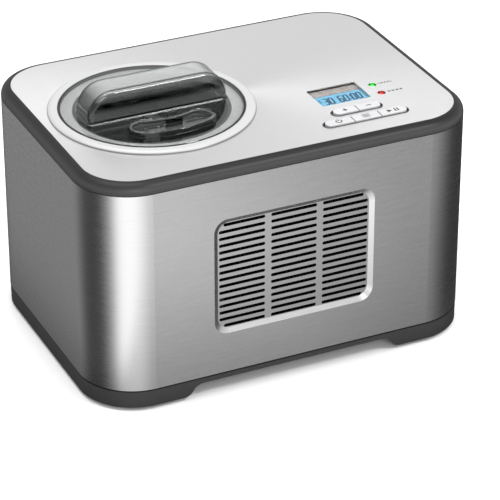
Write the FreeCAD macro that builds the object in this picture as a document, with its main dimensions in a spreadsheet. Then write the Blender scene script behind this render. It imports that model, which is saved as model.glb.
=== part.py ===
"""Compressor ice cream maker: a steel-wrapped cabinet with a chilled well, a bowl, a paddle and a clear lid.

Frame: +X to the right of someone facing the control side, +Y to the back, +Z up, millimetres.
The origin is on the table, under the middle of the cabinet.
"""
import FreeCAD, Part
import math
import os
import Sketcher

V = FreeCAD.Vector
doc = FreeCAD.newDocument("IceCreamMaker")

# ---------------------------------------------------------------- driving dimensions
SIZES = {
    # cabinet
    "body_width": 420.0, "body_depth": 303.0, "body_corner": 59.0, "deck_height": 252.0,
    "wrap_bottom": 23.5, "wrap_top": 240.0, "sheet_wall": 1.0,
    "trim_inset": 10.2, "trim_round": 10.0, "trim_ledge": 7.0, "plate_wall": 1.2,
    "base_bottom": 4.0, "base_underside": 16.4, "base_floor": 2.6, "base_wall": 2.6,
    "arch_half": 100.0, "arch_run": 22.0, "foot_pad_radius": 11.0, "foot_pad_x": 168.0, "foot_pad_y": 112.0,
    "screw_y": 84.0,
    # grille pressed into the front
    "grille_width": 176.0, "grille_height": 129.0, "grille_centre": 131.8, "grille_corner": 15.0,
    "grille_bevel": 5.2, "grille_deep": 3.0, "slot_length": 50.0, "slot_height": 3.5,
    "slot_pitch": 7.55, "column_pitch": 56.5, "short_row_cut": 5.0,
    # freezing side: everything on the bowl's axis
    "bowl_x": -87.0, "collar_radius": 105.0, "collar_bore": 79.8, "lid_seat_radius": 94.6,
    "lid_seat_height": 250.2, "collar_top": 255.2, "well_bore": 78.3, "well_wall": 1.2,
    "well_floor": 112.3, "well_top": 247.0, "sleeve_top": 128.0, "foam_radius": 98.0,
    "bowl_radius": 77.5, "bowl_wall": 1.2, "bowl_floor": 114.0, "bowl_rim": 249.0,
    "shaft_radius": 6.0, "shaft_hex": 10.0, "shaft_top": 166.0,
    "lid_radius": 93.0, "lid_under": 253.0, "lid_top": 255.2, "handle_top": 287.0,
    "handle_half": 75.0, "handle_depth": 37.0, "handle_wall": 2.4, "handle_bend": 27.0,
    "cap_depth": 32.0, "cap_y": -56.0, "cap_bend": 100.0, "cap_top": 261.0, "spout_wall": 2.0,
    "cap_gap": 0.5, "cap_wall": 1.6, "tab_half": 8.6,
    "bail_height": 250.5, "bail_radius": 75.6, "bail_wire": 1.2,
    # mixing drive under the well
    "gear_module": 1.5, "gear_teeth": 60.0, "pinion_teeth": 12.0, "gear_gap": 0.3,
    "gearbox_floor": 74.0, "gearbox_lid": 92.0, "gearbox_width": 128.0, "gearbox_depth": 104.0,
    "gearbox_corner": 10.0, "gearbox_wall": 2.5, "gearbox_shift": 12.0,
    # cooling side
    "compressor_x": 130.0, "compressor_y": 55.0, "compressor_radius": 57.0,
    "fan_x": 85.0, "fan_height": 118.0, "fan_radius": 50.0,
    "gland_x": 120.0, "gland_height": 45.0, "wrap_screw_x": 130.0, "wrap_screw_low": 32.0,
    "wrap_screw_high": 228.0, "coil_first": 125.0, "coil_pitch": 12.0,
    # control panel
    "panel_x": 97.0, "button_y": -90.5, "button_row_y": -111.0, "button_depth": 12.6,
    "pair_length": 57.6, "row_length": 95.7, "button_proud": 2.2, "button_gap": 1.0,
    "key_end": 2.9, "lamp_radius": 3.6,
    "lcd_width": 54.6, "lcd_depth": 39.4, "lcd_y": -51.5, "led_x": 137.5, "led_radius": 4.25,
    "pcb_top": 237.6, "chassis_top": 20.2,
}
sheet = doc.addObject("Spreadsheet::Sheet", "Sizes")
for row, (alias, number) in enumerate(SIZES.items(), start=1):
    sheet.set(f"A{row}", str(number))
    sheet.setAlias(f"A{row}", alias)
doc.recompute()


class Dim:
    """A length or count with the sheet formula that gives it."""

    def __init__(self, number, formula):
        self.number = float(number)
        self.formula = formula

    def joined(self, other, sign, turned=False):
        other = other if isinstance(other, Dim) else Dim(other, repr(float(other)))
        left, right = (other, self) if turned else (self, other)
        results = {"+": lambda a, b: a + b, "-": lambda a, b: a - b,
                   "*": lambda a, b: a * b, "/": lambda a, b: a / b}
        return Dim(results[sign](left.number, right.number), f"({left.formula} {sign} {right.formula})")

    def __add__(self, other):
        return self.joined(other, "+")

    def __radd__(self, other):
        return self.joined(other, "+", turned=True)

    def __sub__(self, other):
        return self.joined(other, "-")

    def __rsub__(self, other):
        return self.joined(other, "-", turned=True)

    def __mul__(self, other):
        return self.joined(other, "*")

    def __rmul__(self, other):
        return self.joined(other, "*", turned=True)

    def __truediv__(self, other):
        return self.joined(other, "/")

    def __neg__(self):
        return self.joined(-1, "*")


class Cells:
    """The sheet's cells, read as Dim values: cells.body_width."""

    def __getattr__(self, alias):
        return Dim(SIZES[alias], f"Sizes.{alias}")


s = Cells()


def num(value):
    return value.number if isinstance(value, Dim) else float(value)


def bind(obj, prop, value):
    """Set a property and, where the value comes from the sheet, tie it to its formula."""
    if "." not in prop:
        setattr(obj, prop, num(value))
    if isinstance(value, Dim):
        obj.setExpression(prop, value.formula)


def place(obj, x=0, y=0, z=0, turn=None):
    """Put an object at a point, with an optional turn (axis, degrees)."""
    rotation = FreeCAD.Rotation(*turn) if turn else FreeCAD.Rotation()
    obj.Placement = FreeCAD.Placement(V(num(x), num(y), num(z)), rotation)
    for axis, value in zip("xyz", (x, y, z)):
        if isinstance(value, Dim):
            obj.setExpression(f"Placement.Base.{axis}", value.formula)
    return obj


# ---------------------------------------------------------------- sketches and features
nodes = []      # the finished sub-parts, in the order they are made
cuts = []       # features that must take material away


def new_body(label):
    body = doc.addObject("PartDesign::Body", label)
    body.Label = label
    nodes.append(body)
    return body


def new_sketch(body, role="XY_Plane", offset=0):
    """A sketch on one of the body's own origin planes, moved along that plane's normal."""
    sketch = body.newObject("Sketcher::SketchObject", body.Label + "_sketch")
    plane = next(item for item in body.Origin.OriginFeatures if item.Role == role)
    sketch.AttachmentSupport = [(plane, "")]
    sketch.MapMode = "FlatFace"
    sketch.AttachmentOffset = FreeCAD.Placement(V(0, 0, num(offset)), FreeCAD.Rotation())
    if isinstance(offset, Dim):
        sketch.setExpression("AttachmentOffset.Base.z", offset.formula)
    return sketch


def fix(sketch, kind, index, position, value):
    """One distance from the sketch's origin to a point, bound to the sheet."""
    number = sketch.addConstraint(Sketcher.Constraint(kind, -1, 1, index, position, num(value)))
    if isinstance(value, Dim):
        sketch.setExpression(f"Constraints[{number}]", value.formula)


def outline(sketch, points, closed=True):
    """Lines and arcs through points (x, y) or (x, y, radius).

    A radius makes the edge that arrives at the point an arc, anticlockwise when it is positive.
    """
    ends = []
    count = len(points)
    edges = range(count) if closed else range(1, count)
    for i in edges:
        a, b = points[i - 1], points[i]
        start, end = V(num(a[0]), num(a[1]), 0), V(num(b[0]), num(b[1]), 0)
        if len(b) == 2:
            index = sketch.addGeometry(Part.LineSegment(start, end), False)
            ends.append((index, 1, 2))
            continue
        radius = num(b[2])
        chord = end - start
        reach = math.sqrt(max(radius ** 2 - (chord.Length / 2) ** 2, 0.0))
        side = V(-chord.y, chord.x, 0) / chord.Length
        centre = (start + end) / 2 + side * (reach if radius > 0 else -reach)
        from_point, to_point = (start, end) if radius > 0 else (end, start)
        angles = [math.atan2((p - centre).y, (p - centre).x) for p in (from_point, to_point)]
        circle = Part.Circle(centre, V(0, 0, 1), abs(radius))
        index = sketch.addGeometry(Part.ArcOfCircle(circle, angles[0], angles[1]), False)
        ends.append((index, 1, 2) if radius > 0 else (index, 2, 1))
        if reach < 1e-3:
            upright = abs(chord.y) > abs(chord.x)
            fix(sketch, "DistanceX" if upright else "DistanceY", index, 3, b[0] if upright else b[1])
            continue
        number = sketch.addConstraint(Sketcher.Constraint("Radius", index, abs(radius)))
        if isinstance(b[2], Dim):
            sketch.setExpression(f"Constraints[{number}]", b[2].formula if radius > 0 else (-b[2]).formula)
    for k, (index, head, tail) in enumerate(ends):
        point = points[k] if closed else points[k + 1]
        after = ends[(k + 1) % len(ends)]
        if closed or k + 1 < len(ends):
            sketch.addConstraint(Sketcher.Constraint("Coincident", index, tail, after[0], after[1]))
        fix(sketch, "DistanceX", index, tail, point[0])
        fix(sketch, "DistanceY", index, tail, point[1])
    if not closed:
        index, head, tail = ends[0]
        fix(sketch, "DistanceX", index, head, points[0][0])
        fix(sketch, "DistanceY", index, head, points[0][1])


def circle(sketch, x, y, radius):
    index = sketch.addGeometry(Part.Circle(V(num(x), num(y), 0), V(0, 0, 1), num(radius)), False)
    fix(sketch, "DistanceX", index, 3, x)
    fix(sketch, "DistanceY", index, 3, y)
    number = sketch.addConstraint(Sketcher.Constraint("Radius", index, num(radius)))
    if isinstance(radius, Dim):
        sketch.setExpression(f"Constraints[{number}]", radius.formula)


def rectangle(sketch, x, y, width, height):
    """A rectangle about its centre."""
    w, h = width / 2, height / 2
    outline(sketch, [(x - w, y - h), (x + w, y - h), (x + w, y + h), (x - w, y + h)])


def rounded(sketch, x, y, width, height, r):
    """A rectangle about its centre, with round corners."""
    w, h = width / 2, height / 2
    outline(sketch, [(x + w - r, y - h), (x + w, y - h + r, r), (x + w, y + h - r), (x + w - r, y + h, r),
                     (x - w + r, y + h), (x - w, y + h - r, r), (x - w, y - h + r), (x - w + r, y - h, r)])


def oblong(sketch, x, y, length, height):
    """A slot with half-round ends, along the sketch's first axis."""
    h = height / 2
    a = length / 2 - h
    outline(sketch, [(x + a, y - h), (x + a, y + h, h), (x - a, y + h), (x - a, y - h, h)])


def bean(sketch, y, depth):
    """A slot bent about a point behind it, with half-round ends; its ends share one pair of centres."""
    half_angle = math.radians(17.5)
    across, along = math.sin(half_angle), math.cos(half_angle)
    r = depth / 2
    end_x = s.cap_bend * across
    end_y = y + s.cap_bend * (1 - along)
    front = (end_x + r * across, end_y - r * along)
    tip = (end_x + r * along, end_y + r * across)
    back = (end_x - r * across, end_y + r * along)
    outline(sketch, [(front[0], front[1], s.cap_bend + r), (tip[0], tip[1], r), (back[0], back[1], r),
                     (-back[0], back[1], r - s.cap_bend), (-tip[0], tip[1], r), (-front[0], front[1], r)])


def pad(body, sketch, length, flip=False, both=False):
    feature = body.newObject("PartDesign::Pad", body.Label + "_pad")
    feature.Profile = sketch
    bind(feature, "Length", length)
    feature.Reversed = flip
    feature.Midplane = both
    return feature


def pocket(body, sketch, length, flip=False, both=False):
    """Cut along the sketch's negative normal, or its positive one when flipped."""
    feature = body.newObject("PartDesign::Pocket", body.Label + "_pocket")
    feature.Profile = sketch
    bind(feature, "Length", length)
    feature.Reversed = flip
    feature.Midplane = both
    cuts.append(feature)
    return feature


def revolve(body, points):
    """Turn a profile of (radius, height) points about the body's Z axis."""
    sketch = new_sketch(body, "XZ_Plane")
    outline(sketch, points)
    feature = body.newObject("PartDesign::Revolution", body.Label + "_turn")
    feature.Profile = sketch
    feature.ReferenceAxis = (sketch, ["V_Axis"])
    feature.Angle = 360
    return feature


def turned(label, points, x=0, y=0):
    """A body that is one turned profile, stood at (x, y)."""
    body = new_body(label)
    revolve(body, points)
    return place(body, x, y)


def row_of(body, feature, sketch, axis, length, count):
    pattern = body.newObject("PartDesign::LinearPattern", body.Label + "_row")
    pattern.Originals = [feature]
    pattern.Direction = (sketch, [axis])
    bind(pattern, "Length", length)
    pattern.Occurrences = count
    body.Tip = pattern
    return pattern


def ring_of(body, feature, sketch, count):
    pattern = body.newObject("PartDesign::PolarPattern", body.Label + "_ring")
    pattern.Originals = [feature]
    pattern.Axis = (sketch, ["N_Axis"])
    pattern.Angle = 360
    pattern.Occurrences = count
    body.Tip = pattern
    return pattern


def edges_where(shape, test):
    return [f"Edge{i}" for i, edge in enumerate(shape.Edges, start=1) if test(edge)]


def soften(body, feature, test, radius):
    """Round the edges of the last feature that pass the test."""
    doc.recompute()
    soft = body.newObject("PartDesign::Fillet", body.Label + "_round")
    soft.Base = (feature, edges_where(feature.Shape, test))
    bind(soft, "Radius", radius)
    body.Tip = soft
    return soft


# ---------------------------------------------------------------- primitives and booleans
def primitive(kind, name, x, y, z, turn=None, **sizes):
    obj = doc.addObject("Part::" + kind, name)
    for prop, value in sizes.items():
        bind(obj, prop, value)
    return place(obj, x, y, z, turn)


def block(name, x0, x1, y0, y1, z0, z1):
    """A box between two corners."""
    return primitive("Box", name, x0, y0, z0, Length=x1 - x0, Width=y1 - y0, Height=z1 - z0)


def rod(name, x, y, z, radius, height, turn=None):
    return primitive("Cylinder", name, x, y, z, turn, Radius=radius, Height=height)


def join(label, shapes):
    """One solid fused from several, kept as a sub-part."""
    fused = doc.addObject("Part::MultiFuse", label)
    fused.Shapes = shapes
    fused.Refine = True
    return keep(fused, label)


def group(label, shapes):
    """Separate identical solids in one sub-part."""
    bundle = doc.addObject("Part::Compound", label)
    bundle.Links = shapes
    return keep(bundle, label)


def without(name, base, tool):
    cut = doc.addObject("Part::Cut", name)
    cut.Base = base
    cut.Tool = tool
    return cut


def keep(obj, label):
    obj.Label = label
    nodes.append(obj)
    return obj


ALONG_X = (V(0, 1, 0), 90)
ALONG_Y = (V(1, 0, 0), -90)


def corners(half_x, half_y, x=0, y=0):
    return [(x + i * half_x, y + j * half_y) for i in (-1, 1) for j in (-1, 1)]


# ---------------------------------------------------------------- cabinet
def base_pan():
    """Moulded tray: four feet at the corners, an arch between them, and a shallow floor above."""
    body = new_body("base_pan")
    foot = new_sketch(body, "XY_Plane", s.base_bottom)
    rounded(foot, 0, 0, s.body_width - 0.6, s.body_depth - 0.6, s.body_corner)
    pad(body, foot, s.wrap_bottom - s.base_bottom)
    tray = new_sketch(body, "XY_Plane", s.wrap_bottom)
    rounded(tray, 0, 0, s.body_width - 2 * s.base_wall, s.body_depth - 2 * s.base_wall,
            s.body_corner - s.base_wall)
    pocket(body, tray, s.wrap_bottom - s.base_underside - s.base_floor)
    arch = new_sketch(body, "XZ_Plane")
    low = s.base_bottom
    top = s.base_underside
    rise = top - low
    bend = (s.arch_run * s.arch_run + rise * rise) / (4 * rise)
    outer = s.arch_half + s.arch_run
    middle = s.arch_half + s.arch_run / 2
    halfway = low + rise / 2
    outline(arch, [(outer, low - 1), (outer, low), (middle, halfway, -bend), (s.arch_half, top, bend),
                   (-s.arch_half, top), (-middle, halfway, bend), (-outer, low, -bend), (-outer, low - 1)])
    pocket(body, arch, s.body_depth + 10, both=True)
    pads = new_sketch(body, "XY_Plane", s.base_bottom)
    for x, y in corners(s.foot_pad_x, s.foot_pad_y):
        circle(pads, x, y, s.foot_pad_radius + 0.1)
    pocket(body, pads, 2, flip=True)
    hollows = new_sketch(body, "XY_Plane", s.base_underside + s.base_floor)
    for x in (-s.foot_pad_x + 4, s.foot_pad_x - 4):
        rounded(hollows, x, 0, 64, 142, 8)
    pocket(body, hollows, s.base_underside + s.base_floor - s.base_bottom - 3)
    screws = new_sketch(body, "XY_Plane", s.base_underside + s.base_floor)
    for x, y in corners(s.foot_pad_x, s.screw_y):
        circle(screws, x, y, 1.8)
    pocket(body, screws, 9)
    return body


def rubber_feet():
    pads = []
    for i, (x, y) in enumerate(corners(s.foot_pad_x, s.foot_pad_y)):
        disc = rod(f"foot_disc_{i}", x, y, 0, s.foot_pad_radius, s.base_bottom + 2)
        doc.recompute()
        soft = doc.addObject("Part::Fillet", f"foot_{i}")
        soft.Base = disc
        rim = [k for k, e in enumerate(disc.Shape.Edges, 1) if e.BoundBox.ZMax < 0.01]
        soft.Edges = [(k, 0.8, 0.8) for k in rim]
        pads.append(soft)
    return group("rubber_feet", pads)


def chassis_plate():
    """Galvanised sheet on the tray's floor that carries the machinery."""
    body = new_body("chassis_plate")
    low = s.base_underside + s.base_floor
    sheet_outline = new_sketch(body, "XY_Plane", low)
    margin = s.base_wall * 2 + 1
    rounded(sheet_outline, 0, 0, s.body_width - margin, s.body_depth - margin, s.body_corner - margin / 2)
    pad(body, sheet_outline, s.chassis_top - low)
    holes = new_sketch(body, "XY_Plane", s.chassis_top)
    for x, y in corners(s.foot_pad_x, s.screw_y):
        circle(holes, x, y, 2.2)
    rectangle(holes, 0, -40, 60, 8)
    rectangle(holes, 0, -20, 60, 8)
    rectangle(holes, 0, 0, 60, 8)
    pocket(body, holes, 5)
    return body


def pan_screw(name, x, y, z, shank, turn=None):
    """Pan-head screw with its head's underside at z and its shank pointing down."""
    head = rod(name + "_head", 0, 0, 0, 3.6, 2.4)
    stem = rod(name + "_stem", 0, 0, -shank, 1.7, shank)
    drive = block(name + "_drive", -2.2, 2.2, -0.4, 0.4, 1.4, 3)
    cross = block(name + "_cross", -0.4, 0.4, -2.2, 2.2, 1.4, 3)
    whole = doc.addObject("Part::MultiFuse", name + "_whole")
    whole.Shapes = [head, stem]
    tool = doc.addObject("Part::MultiFuse", name + "_tool")
    tool.Shapes = [drive, cross]
    return place(without(name, whole, tool), x, y, z, turn)


def chassis_screws():
    return group("chassis_screws", [pan_screw(f"chassis_screw_{i}", x, y, s.chassis_top, 8)
                                    for i, (x, y) in enumerate(corners(s.foot_pad_x, s.screw_y))])


def steel_wrap():
    """One brushed sheet round all four sides, with the front grille pressed in and slots at the back."""
    body = new_body("steel_wrap")
    t = s.sheet_wall
    front = s.body_depth / 2
    wall = new_sketch(body, "XY_Plane", s.wrap_bottom)
    rounded(wall, 0, 0, s.body_width, s.body_depth, s.body_corner)
    rounded(wall, 0, 0, s.body_width - 2 * t, s.body_depth - 2 * t, s.body_corner - t)
    pad(body, wall, s.wrap_top - s.wrap_bottom)

    def panel(depth, shrink, grow=0):
        """The pressing's outline at a depth behind the front face."""
        sketch = new_sketch(body, "XZ_Plane", front - depth)
        rounded(sketch, 0, s.grille_centre, s.grille_width - 2 * shrink + 2 * grow,
                s.grille_height - 2 * shrink + 2 * grow, s.grille_corner - shrink * 0.6 + grow)
        return sketch

    dish = body.newObject("PartDesign::AdditiveLoft", "dish_back")
    dish.Profile = panel(0.3, 0, t)
    dish.Sections = [panel(s.grille_deep + t, s.grille_bevel, t)]
    dish.Ruled = True
    scoop = body.newObject("PartDesign::SubtractiveLoft", "dish_front")
    scoop.Profile = panel(-0.2, 0, 0)
    scoop.Sections = [panel(s.grille_deep, s.grille_bevel, 0)]
    scoop.Ruled = True
    cuts.append(scoop)

    rows = 16
    half_rows = (rows - 1) / 2
    middle_rows = new_sketch(body, "XZ_Plane", front + 1)
    for column in (-1, 0, 1):
        oblong(middle_rows, column * s.column_pitch, s.grille_centre - (half_rows - 1) * s.slot_pitch,
               s.slot_length, s.slot_height)
    slots = pocket(body, middle_rows, 8)
    row_of(body, slots, middle_rows, "V_Axis", (rows - 3) * s.slot_pitch, rows - 2)
    end_rows = new_sketch(body, "XZ_Plane", front + 1)
    for level in (-half_rows, half_rows):
        for column in (-1, 0, 1):
            shorter = s.short_row_cut * abs(column)
            oblong(end_rows, column * s.column_pitch - shorter / 2 * column,
                   s.grille_centre + level * s.slot_pitch, s.slot_length - shorter, s.slot_height)
    pocket(body, end_rows, 8)

    vent = new_sketch(body, "XZ_Plane", -front - 1)
    for x in (66, 118):
        oblong(vent, x, 70, 44, 3.2)
    slits = pocket(body, vent, 4, flip=True)
    row_of(body, slits, vent, "V_Axis", 11 * s.slot_pitch, 12)
    gland = new_sketch(body, "XZ_Plane", -front - 1)
    circle(gland, s.gland_x, s.gland_height, 8.05)
    for x, z in wrap_screw_places():
        circle(gland, x, z, 1.9)
    pocket(body, gland, 4, flip=True)
    return body


def top_trim():
    """Charcoal frame that rolls over the cabinet's top edge and holds the deck plate."""
    body = new_body("top_trim")
    crown = new_sketch(body, "XY_Plane", s.wrap_top + 0.2)
    rounded(crown, 0, 0, s.body_width, s.body_depth, s.body_corner)
    block_up = pad(body, crown, s.deck_height - s.wrap_top - 0.2)
    top = num(s.deck_height) - 0.01
    soften(body, block_up, lambda e: e.BoundBox.ZMin > top, s.trim_round)
    seat = new_sketch(body, "XY_Plane", s.deck_height)
    rounded(seat, 0, 0, s.body_width - 2 * s.trim_inset, s.body_depth - 2 * s.trim_inset,
            s.body_corner - s.trim_inset)
    pocket(body, seat, s.plate_wall)
    opening = new_sketch(body, "XY_Plane", s.deck_height)
    inset = s.trim_inset + s.trim_ledge
    rounded(opening, 0, 0, s.body_width - 2 * inset, s.body_depth - 2 * inset, s.body_corner - inset)
    pocket(body, opening, 20)
    skirt = new_sketch(body, "XY_Plane", s.wrap_top - 7)
    outer = s.sheet_wall + 0.3
    inner = outer + 2.4
    for gap in (outer, inner):
        rounded(skirt, 0, 0, s.body_width - 2 * gap, s.body_depth - 2 * gap, s.body_corner - gap)
    pad(body, skirt, 9)
    return body


def top_plate():
    """Brushed deck plate with the openings for the bowl and the controls."""
    body = new_body("top_plate")
    low = s.deck_height - s.plate_wall
    gap = s.trim_inset + 0.15
    deck = new_sketch(body, "XY_Plane", low)
    rounded(deck, 0, 0, s.body_width - 2 * gap, s.body_depth - 2 * gap, s.body_corner - gap)
    pad(body, deck, s.plate_wall)
    holes = new_sketch(body, "XY_Plane", s.deck_height)
    circle(holes, s.bowl_x, 0, s.collar_radius - 5.7)
    rounded(holes, s.panel_x - 0.7, s.lcd_y, s.lcd_width, s.lcd_depth, 2)
    for y in led_places():
        circle(holes, s.led_x, y, s.led_radius)
    for y, length in ((s.button_y, s.pair_length), (s.button_row_y, s.row_length)):
        oblong(holes, s.panel_x, y, length, s.button_depth + 2.4)
    pocket(body, holes, 4)
    return body


def led_places():
    return (s.lcd_y + 5.2, s.lcd_y - 15.3)


def wrap_screw_places():
    return [(side * s.wrap_screw_x, z) for z in (s.wrap_screw_low, s.wrap_screw_high) for side in (-1, 1)]


def wrap_screws():
    """Four screws at the back that close the wrap on its inner brackets."""
    under_head = s.body_depth / 2 - s.sheet_wall - 2.45
    screws = []
    for i, (x, z) in enumerate(wrap_screw_places()):
        screws.append(pan_screw(f"wrap_screw_{i}", x, under_head, z, 6, (V(1, 0, 0), -90)))
    return group("wrap_screws", screws)


def cord_gland():
    """Rubber grommet in the back wall where a mains lead would enter, flush with the wall."""
    body = new_body("cord_gland")
    bore = 3.6
    revolve(body, [(bore, 0), (8, 0), (8, 1), (10.5, 1), (10.5, 3.4), (7, 3.4), (6, 13), (bore, 13)])
    return place(body, s.gland_x, s.body_depth / 2, s.gland_height, (V(1, 0, 0), 90))


# ---------------------------------------------------------------- freezing side
def bowl_collar():
    """White ring round the bowl's mouth, with the seat that the lid rests on."""
    top = s.collar_top
    bore = s.collar_bore
    seat = s.lid_seat_radius
    deck = s.deck_height
    return turned("bowl_collar", [
        (bore, s.well_top + 0.1), (s.collar_radius - 6, s.well_top + 0.1), (s.collar_radius - 6, deck),
        (s.collar_radius, deck), (s.collar_radius, deck + 0.6), (s.collar_radius - 4.6, top, 6.0),
        (seat + 0.8, top), (seat, top - 0.8, 0.8), (seat, s.lid_seat_height), (bore + 0.6, s.lid_seat_height),
        (bore, s.lid_seat_height - 0.6, 0.6)], s.bowl_x)


def evaporator_well():
    """Aluminium well: straight wall, flanged mouth, and a dam round the shaft."""
    inner = s.well_bore
    outer = inner + s.well_wall
    low = s.well_floor
    floor = low + s.well_wall
    return turned("evaporator_well", [
        (9, low), (outer - 4, low), (outer, low + 4, 4), (outer, s.well_top - 1.5), (92, s.well_top - 1.5),
        (92, s.well_top), (inner, s.well_top), (inner, floor + 3), (inner - 3, floor, -3),
        (10.2, floor), (10.2, s.sleeve_top), (9, s.sleeve_top)], s.bowl_x)


COIL_TURNS = 10


def coil_ends():
    """Heights of the coil's lowest and highest rings, where its two ends leave."""
    return s.coil_first, s.coil_first + (COIL_TURNS - 1) * s.coil_pitch


def evaporator_coil():
    """Copper tube laid round the well in ten rings, joined by risers, with two ends through the foam."""
    ring_radius = s.well_bore + 5.1
    tube = 3
    parts = []
    for i in range(COIL_TURNS):
        parts.append(primitive("Torus", f"coil_ring_{i}", s.bowl_x, 0, s.coil_first + i * s.coil_pitch,
                               Radius1=ring_radius, Radius2=tube))
    for i in range(COIL_TURNS - 1):
        side = -1 if i % 2 else 1
        riser_x = s.bowl_x + side * ring_radius * math.cos(0.6)
        parts.append(rod(f"coil_riser_{i}", riser_x, ring_radius * math.sin(0.6),
                         s.coil_first + i * s.coil_pitch, tube - 0.4, s.coil_pitch))
    for name, z in zip(("in", "out"), coil_ends()):
        parts.append(rod(f"coil_{name}", s.bowl_x + ring_radius, 0, z, tube,
                         s.foam_radius - ring_radius + 4, ALONG_X))
    return join("evaporator_coil", parts)


def insulation_foam():
    """Foamed jacket round the well and its coil, with holes for the two tube ends."""
    body = new_body("insulation_foam")
    bore = s.well_bore + 8.7
    low = s.gearbox_lid + 2.5
    revolve(body, [(9.4, low), (s.foam_radius, low), (s.foam_radius, s.well_top - 1.6),
                   (bore, s.well_top - 1.6), (bore, s.well_floor - 0.1), (9.4, s.well_floor - 0.1)])
    for z in coil_ends():
        hole = new_sketch(body, "YZ_Plane", 60)
        circle(hole, 0, z, 3.2)
        pocket(body, hole, 60, flip=True)
    return place(body, s.bowl_x)


def temperature_sensor():
    """Probe bead in a steel sheath between two turns of the coil."""
    sheath = rod("sensor_sheath", s.bowl_x - s.well_bore - 5, -8, 131, 2, 16, ALONG_Y)
    return keep(sheath, "temperature_sensor")


def shaft_bush():
    r = s.shaft_radius
    return turned("shaft_bush", [(r + 0.06, 104), (8.9, 104), (8.9, 124), (r + 0.06, 124)], s.bowl_x)


def shaft_seal():
    """Rubber lip seal above the bush; its lip stands just off the shaft."""
    r = s.shaft_radius
    return turned("shaft_seal", [(r + 0.8, 124.2), (8.9, 124.2), (8.9, 127.6), (r + 0.4, 127.6),
                                 (r + 0.08, 126.8), (r + 0.8, 125.6)], s.bowl_x)


def bowl():
    """Removable aluminium bowl: rolled rim, central tube for the shaft, and two ears for the bail."""
    body = new_body("bowl")
    outer = s.bowl_radius
    inner = outer - s.bowl_wall
    low = s.bowl_floor
    floor = low + s.bowl_wall
    rim = s.bowl_rim
    tube = 10.9
    revolve(body, [
        (tube, low), (outer - 6, low), (outer, low + 6, 6), (outer, s.well_top + 0.3),
        (outer + 1.8, s.well_top + 0.3), (outer + 1.8, rim), (inner, rim), (inner, floor + 5), (inner - 5, floor, -5),
        (tube + s.bowl_wall, floor), (tube + s.bowl_wall, 140), (tube, 140)])
    ear_x = s.bail_radius - 1.6
    for side in (-1, 1):
        ear = new_sketch(body, "XZ_Plane")
        outline(ear, [(side * (ear_x - 3), 239), (side * (inner + 0.5), 242.5),
                      (side * (inner + 0.5), rim - 1.4), (side * ear_x, rim - 1.4), (side * ear_x, s.bail_height + 2.1),
                      (side * (ear_x - 3), s.bail_height + 2.1)][::side])
        pad(body, ear, 8, both=True)
    pins = new_sketch(body, "YZ_Plane")
    circle(pins, 0, s.bail_height, s.bail_wire + 0.06)
    pocket(body, pins, 2 * s.bail_radius - 2, both=True)
    return place(body, s.bowl_x)


def bowl_bail():
    """Wire handle of the bowl, folded flat over the rim at the back."""
    body = new_body("bowl_bail")
    r = s.bail_radius
    bend = 1.5
    path = new_sketch(body, "XY_Plane", s.bail_height)
    outline(path, [(r - 5.6, 0), (r - bend, 0), (r, bend, bend), (0, r + bend, r), (-r, bend, r),
                   (-r + bend, 0, bend), (-r + 5.6, 0)], closed=False)
    profile = new_sketch(body, "YZ_Plane", r - 5.6)
    circle(profile, 0, s.bail_height, s.bail_wire)
    pipe = body.newObject("PartDesign::AdditivePipe", "bail_wire")
    pipe.Profile = profile
    pipe.Spine = path
    return place(body, s.bowl_x)


def hexagon(sketch, across):
    corner = across / math.sqrt(3)
    outline(sketch, [(corner * math.cos(math.radians(60 * i)), corner * math.sin(math.radians(60 * i)))
                     for i in range(6)])


def drive_shaft():
    """Steel spindle from the gearbox up through the well, with a hexagonal end for the paddle."""
    body = new_body("drive_shaft")
    low = s.gearbox_floor + 0.5
    hex_start = 139.5
    revolve(body, [(0, low), (s.shaft_radius - 0.5, low), (s.shaft_radius, low + 0.5),
                   (s.shaft_radius, hex_start), (0, hex_start)])
    end = new_sketch(body, "XY_Plane", hex_start)
    hexagon(end, s.shaft_hex)
    pad(body, end, s.shaft_top - hex_start)
    return place(body, s.bowl_x)


def paddle():
    """Moulded mixing frame: a hub over the bowl's tube, wall scrapers, a floor bar and slanted vanes."""
    body = new_body("paddle")
    reach = s.bowl_radius - s.bowl_wall - 1.8
    low = s.bowl_floor + s.bowl_wall + 1.2
    top = 236
    revolve(body, [(0, low), (16, low), (16, 168), (11, 176), (8, 214), (8, top + 4), (6, top + 6),
                   (0, top + 6)])
    frame = new_sketch(body, "XZ_Plane")
    outline(frame, [(-reach + 5, low), (reach - 5, low), (reach, low + 5), (reach, top - 8), (reach - 8, top),
                    (0, top), (-reach + 8, top), (-reach, top - 8), (-reach, low + 5)])
    web = pad(body, frame, 4, both=True)
    windows = new_sketch(body, "XZ_Plane", 4)
    bar = 7
    for side in (-1, 1):
        outline(windows, [(side * 22, low + bar), (side * (reach - bar), low + bar),
                          (side * (reach - bar), 168), (side * 22, 140)][::side])
        outline(windows, [(side * 14, 148 + 6), (side * (reach - bar), 180), (side * (reach - bar), top - 12),
                          (side * (reach - bar - 5), top - bar), (side * 12, top - bar)][::side])
    pocket(body, windows, 12)
    bore = new_sketch(body, "XY_Plane", low - 1)
    circle(bore, 0, 0, 12.6)
    pocket(body, bore, 140.6 - num(low) + 1, flip=True)
    socket = new_sketch(body, "XY_Plane", 140)
    hexagon(socket, s.shaft_hex + 0.6)
    pocket(body, socket, s.shaft_top - 140 + 1.5, flip=True)
    return place(body, s.bowl_x)


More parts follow.
